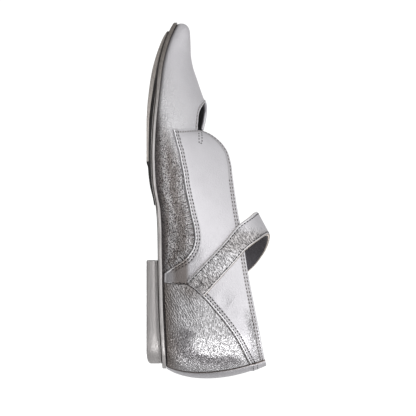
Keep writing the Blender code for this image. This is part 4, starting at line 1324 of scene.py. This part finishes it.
def new_material(name, **sockets):
    """A material with its Principled shader and fixed values on the shader's own sockets."""
    material = bpy.data.materials.new(name)
    material.use_nodes = True
    shader = material.node_tree.nodes["Principled BSDF"]
    for socket, value in sockets.items():
        shader.inputs[socket.replace("_", " ").title()].default_value = value
    return material, material.node_tree, shader


def object_place(tree, turn=0.0, stretch=1.0):
    """Object coordinates, turned about the shoe's width and drawn out along the turned length."""
    place = add_node(tree, "ShaderNodeTexCoord").outputs["Object"]
    turned = add_node(tree, "ShaderNodeMapping",
                      {"Vector": place, "Rotation": (0.0, math.radians(turn), 0.0)})
    drawn = {"Vector": turned.outputs[0], "Scale": (1.0 / stretch, 1.0, 1.0)}
    return add_node(tree, "ShaderNodeMapping", drawn).outputs[0]


def along_shoe(tree):
    """Place along the shoe, metres."""
    return add_node(tree, "ShaderNodeSeparateXYZ", {"Vector": object_place(tree)}).outputs["X"]


def mark(tree, name):
    """Value of one of the mesh's marks, in millimetres."""
    return add_node(tree, "ShaderNodeAttribute", attribute_name=name).outputs["Fac"]


def finish_shader(tree, shader, colour, roughness, height, distance):
    """Colour, roughness and relief into the shader."""
    bump = add_node(tree, "ShaderNodeBump", {"Height": height, "Distance": distance, "Strength": 1.0})
    tree.links.new(colour, shader.inputs["Base Color"])
    tree.links.new(roughness, shader.inputs["Roughness"])
    tree.links.new(bump.outputs[0], shader.inputs["Normal"])


def foil_layer(tree, finish, shade, turn, stretch, depth, size=1.0):
    """Colour, roughness and height of creased foil, drawn out along a turned direction.

    shade: its colour between the bright plates.  The plates' brightness is painted reflection, the creases
    painted shade.
    """
    foil = use_group(tree, shared("Foil crackle", foil_crackle_group),
                     {"Vector": object_place(tree, turn, stretch), "Crease Size": size * finish.crackle_size})
    lit = mix_colour(tree, foil["Tone"], (*shade, 1), (*finish.foil, 1))
    creased = mix_colour(tree, times(tree, foil["Crease"], depth), lit, (*finish.valley, 1))
    return creased, mix_value(tree, foil["Tone"], *FOIL_ROUGH), foil["Height"]


def grain_layer(tree, finish):
    """Colour and height of smooth silver with a fine grain."""
    grain = use_group(tree, shared("Leather grain", leather_grain_group),
                      {"Vector": object_place(tree), "Pebble Size": finish.grain_size})
    return mix_colour(tree, grain["Tone"], (*finish.smooth_shade, 1), (*finish.smooth, 1)), grain["Height"]


def with_painted_shade(tree, dark, colour, distance, reach, amount):
    """The colour with painted shade beside an edge that the distance is measured from."""
    return use_group(tree, shared("Burnish", painted_shade_group),
                     {"Color": colour, "Dark": (*dark, 1), "Distance": distance, "Reach": reach,
                      "Amount": amount})["Color"]


def between(tree, value, start, end):
    """1 between the start and the end of a zone, each given as (clear of it, inside it)."""
    return times(tree, ramp_between(tree, value, *start), ramp_between(tree, value, *end))


def tinted(tree, colour, tint):
    """The colour, multiplied by a tint."""
    return mix_colour(tree, 1.0, colour, (*tint, 1), "MULTIPLY")


def shaded(colour, share):
    """A paint made darker or lighter."""
    return (*(share * part for part in colour), 1)


def banded(tree, value, stops):
    """A level that follows the value through stops of (value, level)."""
    ramp = add_node(tree, "ShaderNodeValToRGB", {"Fac": value})
    levels = ramp.color_ramp.elements
    while len(levels) < len(stops):
        levels.new(0.5)
    for element, (position, level) in zip(levels, stops):
        element.position = position
        element.color = (level, level, level, 1)
    return ramp.outputs["Color"]


def vamp_leather(name, finish):
    """Fine grain over the toe; creased foil on the sides with painted shade in the hollow, gathered under the
    quarter.
    """
    material, tree, shader = new_material(name, metallic=0.9)
    foil, foil_rough, foil_height = foil_layer(tree, finish, finish.crackle_shade, turn=0.0, stretch=1.6,
                                               depth=0.85, size=0.75)
    even, grain_height = grain_layer(tree, finish)
    above, seam, x = mark(tree, "above_sole"), mark(tree, "from_seam"), along_shoe(tree)
    front = calculate(tree, "MULTIPLY_ADD", above, TOE_SLANT, x)
    # Painted shade in bands up the side of the vamp, broken up by streaks, browned in the hollow
    drawn = object_place(tree, stretch=HOLLOW_STREAKS["stretch"])
    reach = HOLLOW_STREAKS["reach"]
    streaks = noise(tree, drawn, HOLLOW_STREAKS["scale"], 2.0)
    streaks = calculate(tree, "MULTIPLY_ADD", streaks, reach, -0.5 * reach)
    up = calculate(tree, "DIVIDE", above, calculate(tree, "ADD", above, seam))
    bands = banded(tree, calculate(tree, "ADD", up, streaks), HOLLOW_BANDS)
    light = calculate(tree, "MAXIMUM", bands, ramp_between(tree, front, *HOLLOW_END_X))
    in_shade = mix_colour(tree, HOLLOW_BROWN, tinted(tree, foil, finish.hollow), (*finish.brown_shaded, 1))
    side = mix_colour(tree, light, in_shade, foil)
    # Gathers: bright foil on the crests is a painted highlight over the painted shade
    gather = add_node(tree, "ShaderNodeTexNoise",
                      {"W": mark(tree, "along_seam"), "Scale": GATHER_SCALE, "Detail": 1.0},
                      noise_dimensions="1D")
    ridges = ramp_between(tree, gather.outputs[0], *GATHER_FOLD)
    hump = times(tree, ramp_between(tree, x, *GATHER_X), ramp_between(tree, seam, *GATHER_REACH))
    pulled = mix_colour(tree, ridges, in_shade, (*finish.foil, 1))
    side = mix_colour(tree, times(tree, hump, GATHER_AMOUNT), side, pulled)
    smooth = ramp_between(tree, front, *TOE_GRAIN_X)
    flat = ramp_between(tree, front, *TOE_RELIEF_X)
    colour = mix_colour(tree, smooth, side, mix_colour(tree, flat, (*finish.foil, 1), even))
    # Painted shade beside the sole and along the quarter's seam
    foot = mix_value(tree, smooth, VAMP_FOOT["foil"], VAMP_FOOT["toe"])
    colour = with_painted_shade(tree, finish.valley, colour, above, foot, VAMP_FOOT["amount"])
    beside = mix_value(tree, smooth, VAMP_SEAM["foil"], VAMP_SEAM["toe"])
    colour = with_painted_shade(tree, finish.valley, colour, seam, VAMP_SEAM["reach"], beside)
    height = mix_value(tree, flat, foil_height, times(tree, grain_height, TOE_GRAIN))
    height = calculate(tree, "MULTIPLY_ADD", times(tree, ridges, hump), GATHER_RISE, height)
    finish_shader(tree, shader, colour, mix_value(tree, smooth, foil_rough, TOE_ROUGH), height, FOIL_BUMP)
    return material


def counter_leather(name, finish):
    """Creased foil round the heel: wrinkles from the strap's root and painted shade in a ring round a bright
    patch.
    """
    material, tree, shader = new_material(name, metallic=0.92)
    colour, roughness, height = foil_layer(tree, finish, finish.crackle_light, turn=-10.0, stretch=3.4,
                                           depth=0.4, size=0.8)
    place = object_place(tree)
    # Wrinkles from the strap's root: painted shade in the troughs, painted highlight on the crests
    stir = noise(tree, place, WRINKLE_STIR["scale"], 2.0)
    across = vector_math(tree, "DOT_PRODUCT", place, WRINKLE_ACROSS)
    phase = calculate(tree, "MULTIPLY_ADD", stir, WRINKLE_STIR["reach"], across)
    waves = calculate(tree, "MULTIPLY_ADD", calculate(tree, "SINE", phase), 0.5, 0.5)
    flat = vector_math(tree, "MULTIPLY", place, SIDE_VIEW)
    near = ramp_between(tree, vector_math(tree, "DISTANCE", flat, WRINKLE_ROOT), *WRINKLE_NEAR)
    folded = mix_colour(tree, waves, (*finish.valley, 1), (*finish.foil, 1))
    colour = mix_colour(tree, times(tree, near, WRINKLE_SHOWN), colour, folded)
    height = calculate(tree, "MULTIPLY_ADD", times(tree, waves, near), WRINKLE_RISE, height)
    # Painted shade in a ring round the bright patch behind the heel
    moved = vector_math(tree, "SUBTRACT", flat, HEEL_PATCH)
    ring = vector_math(tree, "LENGTH", vector_math(tree, "MULTIPLY", moved, HEEL_PATCH_SHARE))
    below = ramp_between(tree, vector_math(tree, "DOT_PRODUCT", moved, RING_SIDE), *RING_SIDE_RAMP)
    dark = times(tree, banded(tree, ring, HEEL_RING), below)
    colour = mix_colour(tree, dark, colour, tinted(tree, colour, finish.crackle_shade))
    # Painted brown shade beside the sole and under the strap's root, painted shade along the seam edge
    colour = with_painted_shade(tree, finish.brown_shaded, colour, mark(tree, "above_sole"), **HEEL_FOOT)
    root = vector_math(tree, "DISTANCE", flat, STRAP_ROOT)
    colour = with_painted_shade(tree, finish.brown_shaded, colour, root, STRAP_ROOT_REACH, STRAP_ROOT_DARK)
    seam = ramp_between(tree, along_shoe(tree), *SEAM_DARK_X)
    colour = with_painted_shade(tree, finish.valley, colour, mark(tree, "from_edge"), HEEL_SEAM_REACH, seam)
    finish_shader(tree, shader, colour, roughness, height, FOIL_BUMP)
    return material


def strap_leather(name, finish, raw):
    """Creased foil on the strap's wall end, smooth over its arch; sewn edges, raw rear rim, painted shade and
    highlights.
    """
    material, tree, shader = new_material(name, metallic=0.92)
    foil, foil_rough, foil_height = foil_layer(tree, finish, finish.crackle_light, turn=-35.0, stretch=4.0,
                                               depth=0.62, size=0.75)
    even, grain_height = grain_layer(tree, finish)
    x = along_shoe(tree)
    smooth = ramp_between(tree, x, *STRAP_SMOOTH_X)
    # Painted shade at the strap's root and bends
    in_shade = calculate(tree, "MAXIMUM", ramp_between(tree, x, *STRAP_ROOT_X), between(tree, x, *STRAP_BEND_X))
    foil = mix_colour(tree, times(tree, in_shade, STRAP_SHADE), foil, tinted(tree, foil, finish.hollow))
    edge = mark(tree, "from_edge")
    # Painted highlight along the folded edges, painted shade in the sewn troughs
    fold = ramp_between(tree, edge, *STRAP_FOLD)
    colour = mix_colour(tree, fold, mix_colour(tree, smooth, foil, even), (*finish.foil, 1))
    sewn = times(tree, between(tree, edge, *STRAP_SEWN), STRAP_PRESSED)
    colour = mix_colour(tree, sewn, colour, (*finish.valley, 1))
    rim = ramp_between(tree, mark(tree, "from_rear"), *STRAP_RIM)
    colour = mix_colour(tree, rim, colour, (*raw, 1))
    calm = calculate(tree, "MAXIMUM", smooth, fold)
    height = mix_value(tree, calm, foil_height, times(tree, grain_height, FINE_GRAIN))
    finish_shader(tree, shader, colour, mix_value(tree, calm, foil_rough, STRAP_ROUGH), height, FOIL_BUMP)
    return material


def smooth_leather(name, finish, sewn=(), shining=None, brown_shaded=None, crackled=None, pressed=0.5):
    """Fine-grained silver leather.

    sewn: marks of the edges with sewn rows beside them.  shining: mark of an edge whose fold gets a painted
    highlight.
    rubbed: mark of an edge beside which brown shade is painted towards the heel, from and to where, and how
    much.
    crackled: mark of an edge beside which the finish has crackled towards the heel.
    pressed: how dark the painted shade beside the sewn rows is.
    """
    material, tree, shader = new_material(name, metallic=0.9)
    colour, height = grain_layer(tree, finish)
    height = times(tree, height, FINE_GRAIN)
    if crackled:
        foil, _, foil_height = foil_layer(tree, finish, finish.crackle_shade, turn=20.0, stretch=3.0,
                                          depth=0.5, size=0.7)
        wear_and_shade = times(tree, between(tree, mark(tree, crackled), *COLLAR_CRACKLE),
                     ramp_between(tree, along_shoe(tree), *COLLAR_CRACKLE_X))
        colour = mix_colour(tree, times(tree, wear_and_shade, COLLAR_CRACKLE_SHOWN), colour, foil)
        height = mix_value(tree, wear_and_shade, height, times(tree, foil_height, COLLAR_CRACKLE_RISE))
    # Painted shade in the zone the sewn rows press down
    for edge in sewn:
        rows = times(tree, between(tree, mark(tree, edge), SEWN_FROM, SEWN_TO), pressed)
        colour = mix_colour(tree, rows, colour, (*finish.crackle_shade, 1))
    # Painted highlight on the fold
    if shining:
        fold = between(tree, mark(tree, shining), *FOLD_SHINE)
        fold = times(tree, fold, ramp_between(tree, mark(tree, "above_sole"), *FOLD_CLEAR))
        colour = mix_colour(tree, fold, colour, (*finish.foil, 1))
    # Painted brown shade beside an edge, towards the heel
    if brown_shaded:
        edge, start, end, amount = brown_shaded
        back = times(tree, ramp_between(tree, along_shoe(tree), *BROWN_SHADE_X), amount)
        wear_and_shade = times(tree, between(tree, mark(tree, edge), start, end), back)
        colour = mix_colour(tree, wear_and_shade, colour, (*finish.brown_shaded, 1))
    finish_shader(tree, shader, colour, mix_value(tree, height, *SMOOTH_ROUGH), height, SMOOTH_BUMP)
    return material


def grained(tree, place, size, colour, tones):
    """Tones of a paint on a grain of the given size, and the grain's own tone and height."""
    grain = use_group(tree, shared("Leather grain", leather_grain_group),
                      {"Vector": place, "Pebble Size": size})
    dark, light = [shaded(colour, share) for share in tones]
    return mix_colour(tree, grain["Tone"], dark, light), grain["Tone"], grain["Height"]


def lining_leather(name, colour, grain_size):
    """Dark matt lining with a soft nap."""
    material, tree, shader = new_material(name, sheen_weight=LINING_NAP)
    paint, tone, height = grained(tree, object_place(tree), grain_size, colour, LINING_TONES)
    finish_shader(tree, shader, paint, mix_value(tree, tone, *LINING_ROUGH), height, LINING_BUMP)
    return material


def thread_finish(name, colour):
    """Twisted polyester thread."""
    material, tree, shader = new_material(name)
    twisted = object_place(tree, **THREAD_TWIST)
    paint, tone, height = grained(tree, twisted, THREAD_GRAIN, colour, THREAD_TONES)
    finish_shader(tree, shader, paint, mix_value(tree, tone, *THREAD_ROUGH), height, EDGE_BUMP)
    return material


def sole_edge_finish(name, colour, toe, joint, metallic, rough, dark_share=0.7, turn_x=TOE_EDGE_X):
    """Painted edge of a sole layer with lengthwise streaks, turning to another colour at the toe.

    joint: colour of the line where the outsole meets what is under it.
    """
    material, tree, shader = new_material(name, metallic=metallic)
    streaks = use_group(tree, shared("Edge streaks", edge_streaks_group),
                        {"Vector": object_place(tree), "Streak Size": STREAK_SIZE})
    x = along_shoe(tree)
    turned = ramp_between(tree, x, *turn_x)
    dark, light = [mix_colour(tree, turned, shaded(colour, share), shaded(toe, share))
                   for share in (dark_share, 1.0)]
    paint = mix_colour(tree, ramp_between(tree, streaks["Tone"], *STREAK_TONE), dark, light)
    raised = between(tree, x, *JOINT_RISE_X)
    level = calculate(tree, "MULTIPLY_ADD", raised, -JOINT_RISE, mark(tree, "above_sole"))
    line = times(tree, between(tree, level, *JOINT_LINE), JOINT_DARK)
    paint = mix_colour(tree, line, paint, (*joint, 1))
    roughness = mix_value(tree, streaks["Speck"], rough - EDGE_SMOOTHER, rough + EDGE_ROUGHER)
    specks = times(tree, streaks["Speck"], SPECK_SHARE)
    height = calculate(tree, "MULTIPLY_ADD", streaks["Tone"], STREAK_SHARE, specks)
    finish_shader(tree, shader, paint, roughness, height, EDGE_BUMP)
    return material


def colour_property(name, description, default):
    """A colour that a user would change."""
    return FloatVectorProperty(name=name, description=description, default=default, subtype="COLOR",
                               size=3, min=0.0, max=1.0)


def length_property(name, description, default):
    """A length in metres that a user would change."""
    return FloatProperty(name=name, description=description, default=default, min=0.0, unit="LENGTH",
                         precision=5)


def level_property(name, description, default, unit="NONE"):
    """A brightness or a lamp's power that a user would change."""
    return FloatProperty(name=name, description=description, default=default, min=0.0, unit=unit)


def aim_property(name, description, default):
    """A place in metres that a user would change."""
    return FloatProperty(name=name, description=description, default=default, unit="LENGTH")


class LeatherFinish(bpy.types.PropertyGroup):
    """Colours and scales of the silver leather."""
    foil: colour_property("Foil", "Bright silver of the creased foil", (0.86, 0.85, 0.87))
    # Painted reflection: the plates of the foil range from these shades up to the bright foil
    crackle_shade: colour_property("Crackle shade", "Dull silver between bright plates", (0.36, 0.348, 0.356))
    crackle_light: colour_property("Crackle light", "Silver between bright plates on the strap and heel",
                                   (0.74, 0.727, 0.74))
    # Painted shade in the creases and wrinkle troughs, and beside the sole and the seams
    valley: colour_property("Valley", "Dark grey in the creases and beside the sole", (0.06, 0.054, 0.057))
    # Tint of the painted shade in the vamp's hollow and on the strap's root and bends
    hollow: colour_property("Hollow", "Tint of the foil in the hollow under the quarter", (0.44, 0.405, 0.38))
    # Brown of painted shade and reflection beside the sole, under the strap's root and along the back strip's
    # edges
    brown_shaded: colour_property("Brown shade", "Brown of the leather that is rubbed beside the sole",
                            (0.165, 0.128, 0.105))
    smooth: colour_property("Smooth silver", "Light tone of the smooth leather", (0.715, 0.702, 0.73))
    smooth_shade: colour_property("Smooth shade", "Dark tone of the smooth leather", (0.60, 0.587, 0.612))
    crackle_size: length_property("Crackle size", "Width of a foil crease", 0.0008)
    grain_size: length_property("Grain size", "Width of a grain pebble", 0.0009)


class TrimFinish(bpy.types.PropertyGroup):
    """Colours of the lining, thread and sole."""
    lining: colour_property("Lining", "Charcoal lining of the upper and the strap", (0.074, 0.069, 0.078))
    strap_edge: colour_property("Strap edge", "Raw leather seen on the strap's edge", (0.47, 0.42, 0.38))
    thread: colour_property("Thread", "Sewing thread", (0.018, 0.016, 0.016))
    collar_thread: colour_property("Collar thread", "Sewing thread beside the collar and throat",
                                   (0.1, 0.088, 0.082))
    sole_edge: colour_property("Sole edge", "Painted edge of the outsole and heel", (0.47, 0.45, 0.445))
    toe_edge: colour_property("Toe edge", "Darkened edge of the sole at the toe", (0.19, 0.17, 0.155))
    tread: colour_property("Tread", "Black rubber layer", (0.014, 0.012, 0.012))
    joint: colour_property("Joint", "Brown line where the outsole meets the heel and tread",
                           (0.04, 0.032, 0.028))
    half_sole: colour_property("Half sole", "Forefoot sole", (0.36, 0.33, 0.31))


class StudioSettings(bpy.types.PropertyGroup):
    """Camera and light."""
    distance: length_property("Camera distance", "From the camera to the middle of the shoe", 2.6)
    frame_height: length_property("Frame height", "Height of the view at the shoe", 0.308)
    aim_x: aim_property("Aim along the shoe", "Middle of the view along the shoe", -0.0057)
    camera_z: length_property("Camera height", "Height of the camera above the floor", 0.002)
    aim_z: aim_property("Aim height", "Middle of the view above the floor", 0.0456)
    backdrop: level_property("Backdrop", "Brightness of the white backdrop", 1.1)
    front: level_property("Front", "Brightness of the studio ahead of the shoe", 1.1)
    above: level_property("Above", "Brightness of the studio overhead", 0.72)
    beyond_toe: level_property("Beyond the toe", "Brightness of the studio beyond the toe", 0.56)
    behind: level_property("Behind", "Brightness of the studio behind the shoe", 0.55)
    below: level_property("Below", "Brightness of reflections from low down", 0.08)
    top_light: level_property("Top light", "Large soft light overhead", 24.0, "POWER")
    front_light: level_property("Front light", "Soft light beside the camera", 2.0, "POWER")
    heel_light: level_property("Heel light", "Soft light from the heel's side", 5.5, "POWER")


class FLATSHOE_OT_upper(bpy.types.Operator):
    """Vamp skin from the toe to the heel and the dark lining inside it"""
    bl_idname = "flatshoe.upper"
    bl_label = "Upper and lining"

    def execute(self, context):
        leather = context.scene.flat_shoe_leather
        skin = vamp_leather("Vamp leather", leather)
        points, faces = wall_layer(0.0, -SKIN_THICK, VAMP_SPACING, VAMP_ROWS, VAMP_CREASES)
        add_piece("vamp", points, faces, skin, ["upper"], seam_marks)
        lining = lining_leather("Lining", context.scene.flat_shoe_trim.lining, LINING_GRAIN)
        points, faces = wall_layer(-SKIN_THICK, -UPPER_WALL, LINING_SPACING, LINING_ROWS)
        add_piece("vamp_lining", points, faces, lining, ["upper"])
        return {"FINISHED"}


class FLATSHOE_OT_quarters(bpy.types.Operator):
    """Smooth side panels with the free tab and the collar"""
    bl_idname = "flatshoe.quarters"
    bl_label = "Quarters"

    def execute(self, context):
        leather = smooth_leather("Quarter leather", context.scene.flat_shoe_leather,
                                 sewn=("from_top", "from_seam"), shining="from_seam",
                                 brown_shaded=QUARTER_BROWN_SHADE, crackled="from_top")
        for name, side in SIDES:
            points, faces, marks = panel_shell(make_quarter_panel(side), SEWN_ROWS, QUARTER_CREASES)
            add_piece("quarter_panel_" + name, points, faces, leather,
                      ["quarter_" + name], marks)
        return {"FINISHED"}


class FLATSHOE_OT_counters(bpy.types.Operator):
    """Crackled heel panels with wrinkles from the strap's root"""
    bl_idname = "flatshoe.counters"
    bl_label = "Counters"

    def execute(self, context):
        leather = counter_leather("Counter leather", context.scene.flat_shoe_leather)
        for name, side in SIDES:
            points, faces, marks = panel_shell(make_counter_panel(side), (), COUNTER_CREASES)
            add_piece("counter_panel_" + name, points, faces, leather,
                      ["counter_" + name], marks)
        return {"FINISHED"}


class FLATSHOE_OT_back_strip(bpy.types.Operator):
    """Strip over the heel seam with its folded tab"""
    bl_idname = "flatshoe.back_strip"
    bl_label = "Back strip"

    def execute(self, context):
        leather = smooth_leather("Back strip leather", context.scene.flat_shoe_leather, brown_shaded=STRIP_EDGE_SHADE)
        outside, inside, edge, _ = back_strip_grid()
        points, faces = shell(outside, inside)
        add_piece("heel_strip", points, faces, leather, ["back_strip"],
                  {"from_edge": both_faces(edge)})
        return {"FINISHED"}


class FLATSHOE_OT_throat_binding(bpy.types.Operator):
    """Folded edge round the keyhole throat"""
    bl_idname = "flatshoe.throat_binding"
    bl_label = "Throat binding"

    def execute(self, context):
        leather = smooth_leather("Binding leather", context.scene.flat_shoe_leather, sewn=("from_rim",),
                                 shining="from_rim", pressed=BINDING_PRESSED)
        rows, _ = binding_grid()
        count, width = rows.shape[:2]
        index = np.arange(count * width).reshape(count, width)
        faces = squares(np.concatenate([index, index[:, :1]], axis=1)).tolist()
        faces += [index[0].tolist(), index[-1, ::-1].tolist()]
        section = [reach + BINDING_RIM if lift > 0 else BINDING_HIDDEN for reach, lift in BINDING_PROFILE]
        rim = np.tile(section, count)
        add_piece("throat_fold", rows.reshape(-1, 3), faces, leather, ["throat_binding"],
                  {"from_rim": rim})
        return {"FINISHED"}


class FLATSHOE_OT_strap(bpy.types.Operator):
    """Ankle strap in three layers: silver leather, raw edge and dark lining"""
    bl_idname = "flatshoe.strap"
    bl_label = "Strap"

    def execute(self, context):
        trim = context.scene.flat_shoe_trim
        leather = strap_leather("Strap leather", context.scene.flat_shoe_leather, trim.strap_edge)
        core = lining_leather("Strap raw edge", trim.strap_edge, RAW_EDGE_GRAIN)
        lining = lining_leather("Strap lining leather", trim.lining, LINING_GRAIN)
        strands, normals = strap_grid()
        points, faces, marks = strap_layer(strands, normals, STRAP_CORE_TOP, STRAP_THICK, STRAP_LEATHER_INSET,
                                           STRAP_LEATHER_BULGE, strap_lifts)
        add_piece("strap_leather", points, faces, leather, ["strap"], marks)
        points, faces, marks = strap_layer(strands, normals, STRAP_LINING_TOP, STRAP_CORE_TOP)
        add_piece("strap_raw_edge", points, faces, core, ["strap"], marks)
        points, faces, marks = strap_layer(strands, normals, 0.0, STRAP_LINING_TOP, STRAP_LINING_INSET)
        add_piece("strap_lining", points, faces, lining, ["strap"], marks)
        return {"FINISHED"}


class FLATSHOE_OT_sole(bpy.types.Operator):
    """Insole sock, outsole, tread layer, half sole and stacked heel with trimmed edges"""
    bl_idname = "flatshoe.sole"
    bl_label = "Sole and heel"

    def execute(self, context):
        trim = context.scene.flat_shoe_trim
        sock = lining_leather("Insole sock", trim.lining, LINING_GRAIN)
        silver = sole_edge_finish("Outsole edge", trim.sole_edge, trim.toe_edge, trim.joint,
                                  metallic=0.55, rough=0.4)
        stacked = sole_edge_finish("Heel edge", trim.sole_edge, trim.toe_edge, trim.joint,
                                   metallic=0.55, rough=0.42, dark_share=0.82)
        rubber = sole_edge_finish("Tread rubber", trim.tread, trim.toe_edge, trim.tread,
                                  metallic=0.0, rough=0.6, turn_x=TREAD_TOE_X)
        pale = sole_edge_finish("Half sole leather", trim.half_sole, trim.toe_edge, trim.half_sole,
                                metallic=0.0, rough=0.55, dark_share=0.75)
        layers = (
            ("insole_sock", "insole", INSOLE_MARGIN, insole_top, FEATHER_Z, PLAIN_RIM, None, None,
             sock, "lining"),
            ("outsole_body", "outsole", SOLE_MARGIN, outsole_top, outsole_bottom, ROUND_RIM, None, None,
             silver, "sole_edge"),
            ("tread_rubber", "tread_layer", TREAD_MARGIN, tread_top, tread_bottom, PLAIN_RIM,
             TREAD_REAR_X, HALF_SOLE_FRONT_X, rubber, "tread"),
            ("half_sole_body", "half_sole", HALF_SOLE_MARGIN, half_sole_top, TREAD_Z, ROUND_RIM,
             HALF_SOLE_REAR_X, HALF_SOLE_FRONT_X, pale, "half_sole"),
            ("heel_stack", "heel", HEEL_MARGIN, tread_top, heel_bottom, HEEL_RIM, None, HEEL_BREAST_X,
             stacked, "sole_edge"),
        )
        for name, node, margin, top, bottom, levels, rear, front, material, slot in layers:
            points, faces = sole_layer(margin, top, bottom, levels, rear, front)
            add_piece(name, points, faces, material, [node])
        return {"FINISHED"}


class FLATSHOE_OT_stitches(bpy.types.Operator):
    """Sewn rows along the seams, the collar, the tab root and the strap"""
    bl_idname = "flatshoe.stitches"
    bl_label = "Stitches"

    def execute(self, context):
        trim = context.scene.flat_shoe_trim
        thread = thread_finish("Thread", trim.thread)
        pale = thread_finish("Collar thread", trim.collar_thread)
        for name, side in SIDES:
            panel = make_quarter_panel(side)
            near, far = SEWN_ROWS
            rows = clear_of_sole(*panel_row(panel, near)) + clear_of_sole(*panel_row(panel, far))
            points, faces = sew(rows + [wall_path(side, TAB_BAR, PANEL_LIFT)])
            add_piece("stitches_quarter_" + name, points, faces, thread,
                      ["quarter_" + name])
            rows = [panel_row(panel, near, True), panel_row(panel, far, True, COLLAR_SECOND_ROW),
                    panel_column(panel, FRONT_ROW, far)]
            points, faces = sew(rows)
            add_piece("stitches_collar_" + name, points, faces, pale,
                      ["quarter_" + name])
        rows, normals = binding_grid()
        points, faces = sew([(rows[:, BINDING_DIP], normals)])
        add_piece("stitches_throat", points, faces, pale, ["throat_binding"])
        strands, normals = strap_grid()
        rows = []
        for share in (STRAP_ROW / STRAP_WIDTH, 1 - STRAP_ROW / STRAP_WIDTH):
            low, part = divmod(share * (len(strands) - 1), 1)
            low = int(low)
            path, out = [grid[low] * (1 - part) + grid[low + 1] * part for grid in (strands, normals)]
            rows.append((path + (STRAP_THICK + STITCH_SINK) * out, out))
        points, faces = sew(rows)
        add_piece("stitches_strap", points, faces, thread, ["strap"])
        outside, _, _, normals = back_strip_grid()
        rows = []
        for height in TAB_STITCH_Z:
            row = int(np.argmin(np.abs(outside[:, outside.shape[1] // 2, 2] - height)))
            rows.append((outside[row, 1:-1] - STITCH_SINK * normals[row, 1:-1], normals[row, 1:-1]))
        points, faces = sew(rows)
        add_piece("stitches_back_tab", points, faces, thread, ["back_strip"])
        return {"FINISHED"}


def studio_world(studio):
    """White backdrop for the camera; a studio bright ahead of the shoe, dim behind and dark below."""
    world = bpy.data.worlds.new("studio")
    world.use_nodes = True
    tree = world.node_tree
    toward = add_node(tree, "ShaderNodeTexCoord").outputs["Generated"]
    parts = add_node(tree, "ShaderNodeSeparateXYZ", {"Vector": toward}).outputs
    level = studio.below
    for axis, low, high, beyond in STUDIO_ZONES:
        level = mix_value(tree, ramp_between(tree, parts[axis], low, high), level, getattr(studio, beyond))
    seen = add_node(tree, "ShaderNodeLightPath").outputs["Is Camera Ray"]
    level = mix_value(tree, seen, level, studio.backdrop)
    tree.links.new(level, tree.nodes["Background"].inputs["Strength"])
    tree.nodes["Background"].inputs["Color"].default_value = (1.0, 1.0, 1.0, 1.0)
    return world


class FLATSHOE_OT_stage(bpy.types.Operator):
    """Pale floor, soft lights and the camera"""
    bl_idname = "flatshoe.stage"
    bl_label = "Studio"

    def execute(self, context):
        studio = context.scene.flat_shoe_studio
        mesh = bpy.data.meshes.new("floor")
        mesh.from_pydata((np.array(FLOOR_CORNERS) * FLOOR_REACH).tolist(), [], [[0, 1, 2, 3]])
        material, _, shader = new_material("Studio paper", base_color=FLOOR_COLOUR, roughness=0.85)
        shader.inputs["Specular IOR Level"].default_value = FLOOR_GLOSS
        mesh.materials.append(material)
        floor = bpy.data.objects.new("floor", mesh)
        context.scene.collection.objects.link(floor)
        floor.visible_glossy = False
        for name, place, target, size, reflected in LIGHTS:
            lamp = bpy.data.lights.new(name, "AREA")
            lamp.size = size
            lamp.energy = getattr(studio, name)
            lit = bpy.data.objects.new(name, lamp)
            lit.location = place
            aim = Vector(target) - Vector(place)
            lit.rotation_euler = aim.to_track_quat("-Z", "Y").to_euler()
            lit.visible_glossy = reflected
            context.scene.collection.objects.link(lit)
        context.scene.world = studio_world(studio)
        view = bpy.data.cameras.new("camera")
        view.sensor_width = SENSOR
        view.lens = SENSOR * studio.distance / studio.frame_height
        camera = bpy.data.objects.new("camera", view)
        place = Vector((studio.aim_x, studio.distance, studio.camera_z))
        up, back = Vector((1, 0, 0)), (place - Vector((studio.aim_x, 0, studio.aim_z))).normalized()
        camera.matrix_world = Matrix((up.cross(back), up, back)).transposed().to_4x4()
        camera.location = place
        context.scene.collection.objects.link(camera)
        context.scene.camera = camera
        context.scene.view_settings.view_transform = "Standard"
        return {"FINISHED"}


STEPS = (FLATSHOE_OT_stage, FLATSHOE_OT_upper, FLATSHOE_OT_quarters, FLATSHOE_OT_counters,
         FLATSHOE_OT_back_strip, FLATSHOE_OT_throat_binding, FLATSHOE_OT_strap, FLATSHOE_OT_sole,
         FLATSHOE_OT_stitches)


class FLATSHOE_PT_sidebar(bpy.types.Panel):
    """Lists the steps that dress the shoe"""
    bl_idname = "FLATSHOE_PT_sidebar"
    bl_label = "Flat shoe"
    bl_space_type = "VIEW_3D"
    bl_region_type = "UI"
    bl_category = "Flat shoe"

    def draw(self, context):
        for step in STEPS:
            self.layout.operator(step.bl_idname)


GROUPS = (
    ("flat_shoe_leather", LeatherFinish),
    ("flat_shoe_trim", TrimFinish),
    ("flat_shoe_studio", StudioSettings),
)


def register():
    for name, group in GROUPS:
        bpy.utils.register_class(group)
        setattr(bpy.types.Scene, name, PointerProperty(type=group))
    for step in STEPS:
        bpy.utils.register_class(step)
    bpy.utils.register_class(FLATSHOE_PT_sidebar)


def unregister():
    bpy.utils.unregister_class(FLATSHOE_PT_sidebar)
    for step in reversed(STEPS):
        bpy.utils.unregister_class(step)
    for name, group in reversed(GROUPS):
        delattr(bpy.types.Scene, name)
        bpy.utils.unregister_class(group)


def main():
    register()
    for step in STEPS:
        family, name = step.bl_idname.split(".")
        getattr(getattr(bpy.ops, family), name)()


if __name__ == "__main__":
    main()
